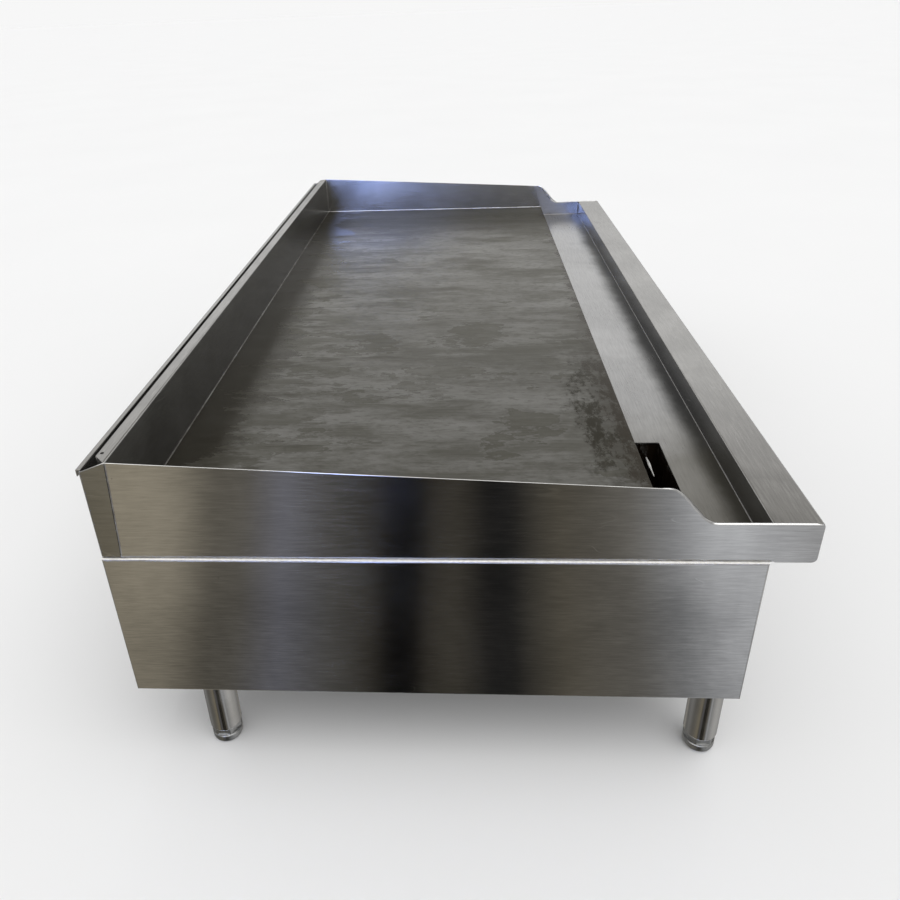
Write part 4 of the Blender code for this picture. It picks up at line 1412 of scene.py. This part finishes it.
def room_below(aside, height):
    """The floor that the sheet mirrors, on the left and on the right: dark and pale bands."""
    left = ramp(
        aside, (-80, 0.22), (-48, 0.60), (-24, 0.30, -0.04), (-19.5, 0.47, -0.06), (-17.5, 0.42, -0.06),
        (-14.8, 0.215, -0.05), (-12, 0.135, 0.08), (-7, 0.102, 0.20), (-4.9, 0.056, 0.15), (-3.5, 0.018),
        (-1.6, 0.014), (0.7, 0.054, 0.18), (2.6, 0.040, 0.18), (3.6, 0.006), (5.4, 0.006), (7.0, 0.044, 0.15),
        (9.8, 0.090, 0.04), (13.4, 0.138, 0.141, 0.166), (16.2, 0.096, 0.12), (18.4, 0.088, 0.16),
        (21.2, 0.205, 0.20), (25, 0.205, 0.22), (34, 0.16, 0.1), (50, 0.10), (80, 0.22),
    )
    outer = fade(calc("ABSOLUTE", aside), 8.0, 14.0, 0.0, 0.50)
    gain = plus(1.0, times(outer, fade(height, -41.5, -37.5)))
    gains = add("ShaderNodeCombineXYZ", {0: gain, 1: gain, 2: gain}).outputs[0]
    right = ramp(
        aside, (-80, 0.22), (-40, 0.42), (-22, 0.20), (-8, 0.30, 0.1), (0, 0.10), (6, 0.16), (18, 0.34, 0.08),
        (32, 0.14), (50, 0.32), (80, 0.22),
    )
    return vector_calc("MULTIPLY", left, gains), right


def room_level(aside):
    """The walls that the sheet mirrors, on the left, with a bluish window, and on the right."""
    left = ramp(
        aside, (-80, 0.34), (-40, 0.50), (-18, 0.30), (-5, 0.24), (-2, 0.12), (3.6, 0.08, -0.10),
        (5.0, 2.30, 3.05, 6.30), (7.6, 3.30, 4.50, 9.60), (10.5, 2.80, 3.60, 6.70), (12.5, 0.16), (30, 0.24),
        (55, 0.44), (80, 0.34),
    )
    return left, ramp(aside, (-80, 0.34), (-30, 0.16), (0, 0.12), (30, 0.16), (80, 0.34))


def room_above(height):
    """The ceiling that the sheet mirrors, on the left and on the right, bright overhead."""
    left = ramp(height, (0, 0.20), (34, 0.22), (52, 2.4), (62, 2.4), (76, 0.8))
    right = ramp(
        height, (6, 0.16), (13, 0.64), (21, 0.68), (27, 0.62), (33, 0.24, 0.06), (46, 0.18, 0.06), (66, 2.2),
        (78, 0.8),
    )
    return left, right


def mirrored_room(heading):
    """The colours of the room round the object, by direction."""
    parts = coordinates(heading)
    aside, height = degrees_off(parts[1]), degrees_off(parts[2])
    ahead = fade(parts[0], -0.30, 0.30)
    below = blend(ahead, *room_below(aside, height))
    level = blend(ahead, *room_level(aside))
    sky_left, sky_right = room_above(height)
    room = blend(fade(height, -16.0, -5.0), below, level)
    wall = ramp(
        degrees_off(parts[0]), (-50, 0.50), (-36, 0.22), (-26, 0.46), (-15, 0.30), (-7, 0.56, 0.04), (3, 0.24),
        (11, 0.34), (20, 0.58), (29, 0.26), (44, 0.48),
    )
    level = blend(fade(calc("ABSOLUTE", parts[1]), 0.62, 0.80), level, wall)
    upper = blend(ahead, blend(fade(height, 24.0, 38.0), level, sky_left), sky_right)
    return blend(fade(height, 2.0, 10.0), room, upper)


def studio_world():
    """Soft white light all round, with the dark and pale bands of a room for the polished sheet to mirror."""
    world = bpy.data.worlds.new("studio_world")
    bpy.context.scene.world = world
    world.use_nodes = True
    tree = world.node_tree
    tree.nodes.clear()
    room = mirrored_room(tree.nodes.new("ShaderNodeTexCoord").outputs["Generated"])
    rays = tree.nodes.new("ShaderNodeLightPath").outputs
    plain = blend(rays["Is Camera Ray"], (0.90, 0.90, 0.90), BACKDROP)
    seen = blend(rays["Is Glossy Ray"], plain, room)
    surface = add("ShaderNodeBackground", {"Color": seen, "Strength": 1.0})
    out = tree.nodes.new("ShaderNodeOutputWorld")
    tree.links.new(surface.outputs[0], out.inputs["Surface"])


def soft_sun():
    """One broad lamp high over the front left, for the floor's soft shadow. The sheet doesn't mirror it."""
    lamp = bpy.data.lights.new("soft_sun", "SUN")
    lamp.angle = math.radians(50)
    lamp.energy = 0.85
    made = bpy.data.objects.new("soft_sun", lamp)
    made.rotation_euler = (math.radians(18), math.radians(-14), 0)
    made.visible_glossy = False
    bpy.context.scene.collection.objects.link(made)


def main_camera():
    """The view from the left end, above the side splash, looking along the plate."""
    camera = bpy.data.objects.new("camera", bpy.data.cameras.new("camera"))
    camera.data.sensor_width = 36
    camera.data.lens = 30.389
    camera.data.shift_x = 0.03897
    camera.data.shift_y = -0.05799
    camera.location = (-1.43098, -0.02917, 0.87066)
    camera.rotation_euler = [math.radians(angle) for angle in (62.9235, 2.0676, -86.9144)]
    bpy.context.scene.collection.objects.link(camera)
    bpy.context.scene.camera = camera


studio_floor()
studio_world()
soft_sun()
main_camera()
bpy.context.scene.view_settings.view_transform = "Standard"
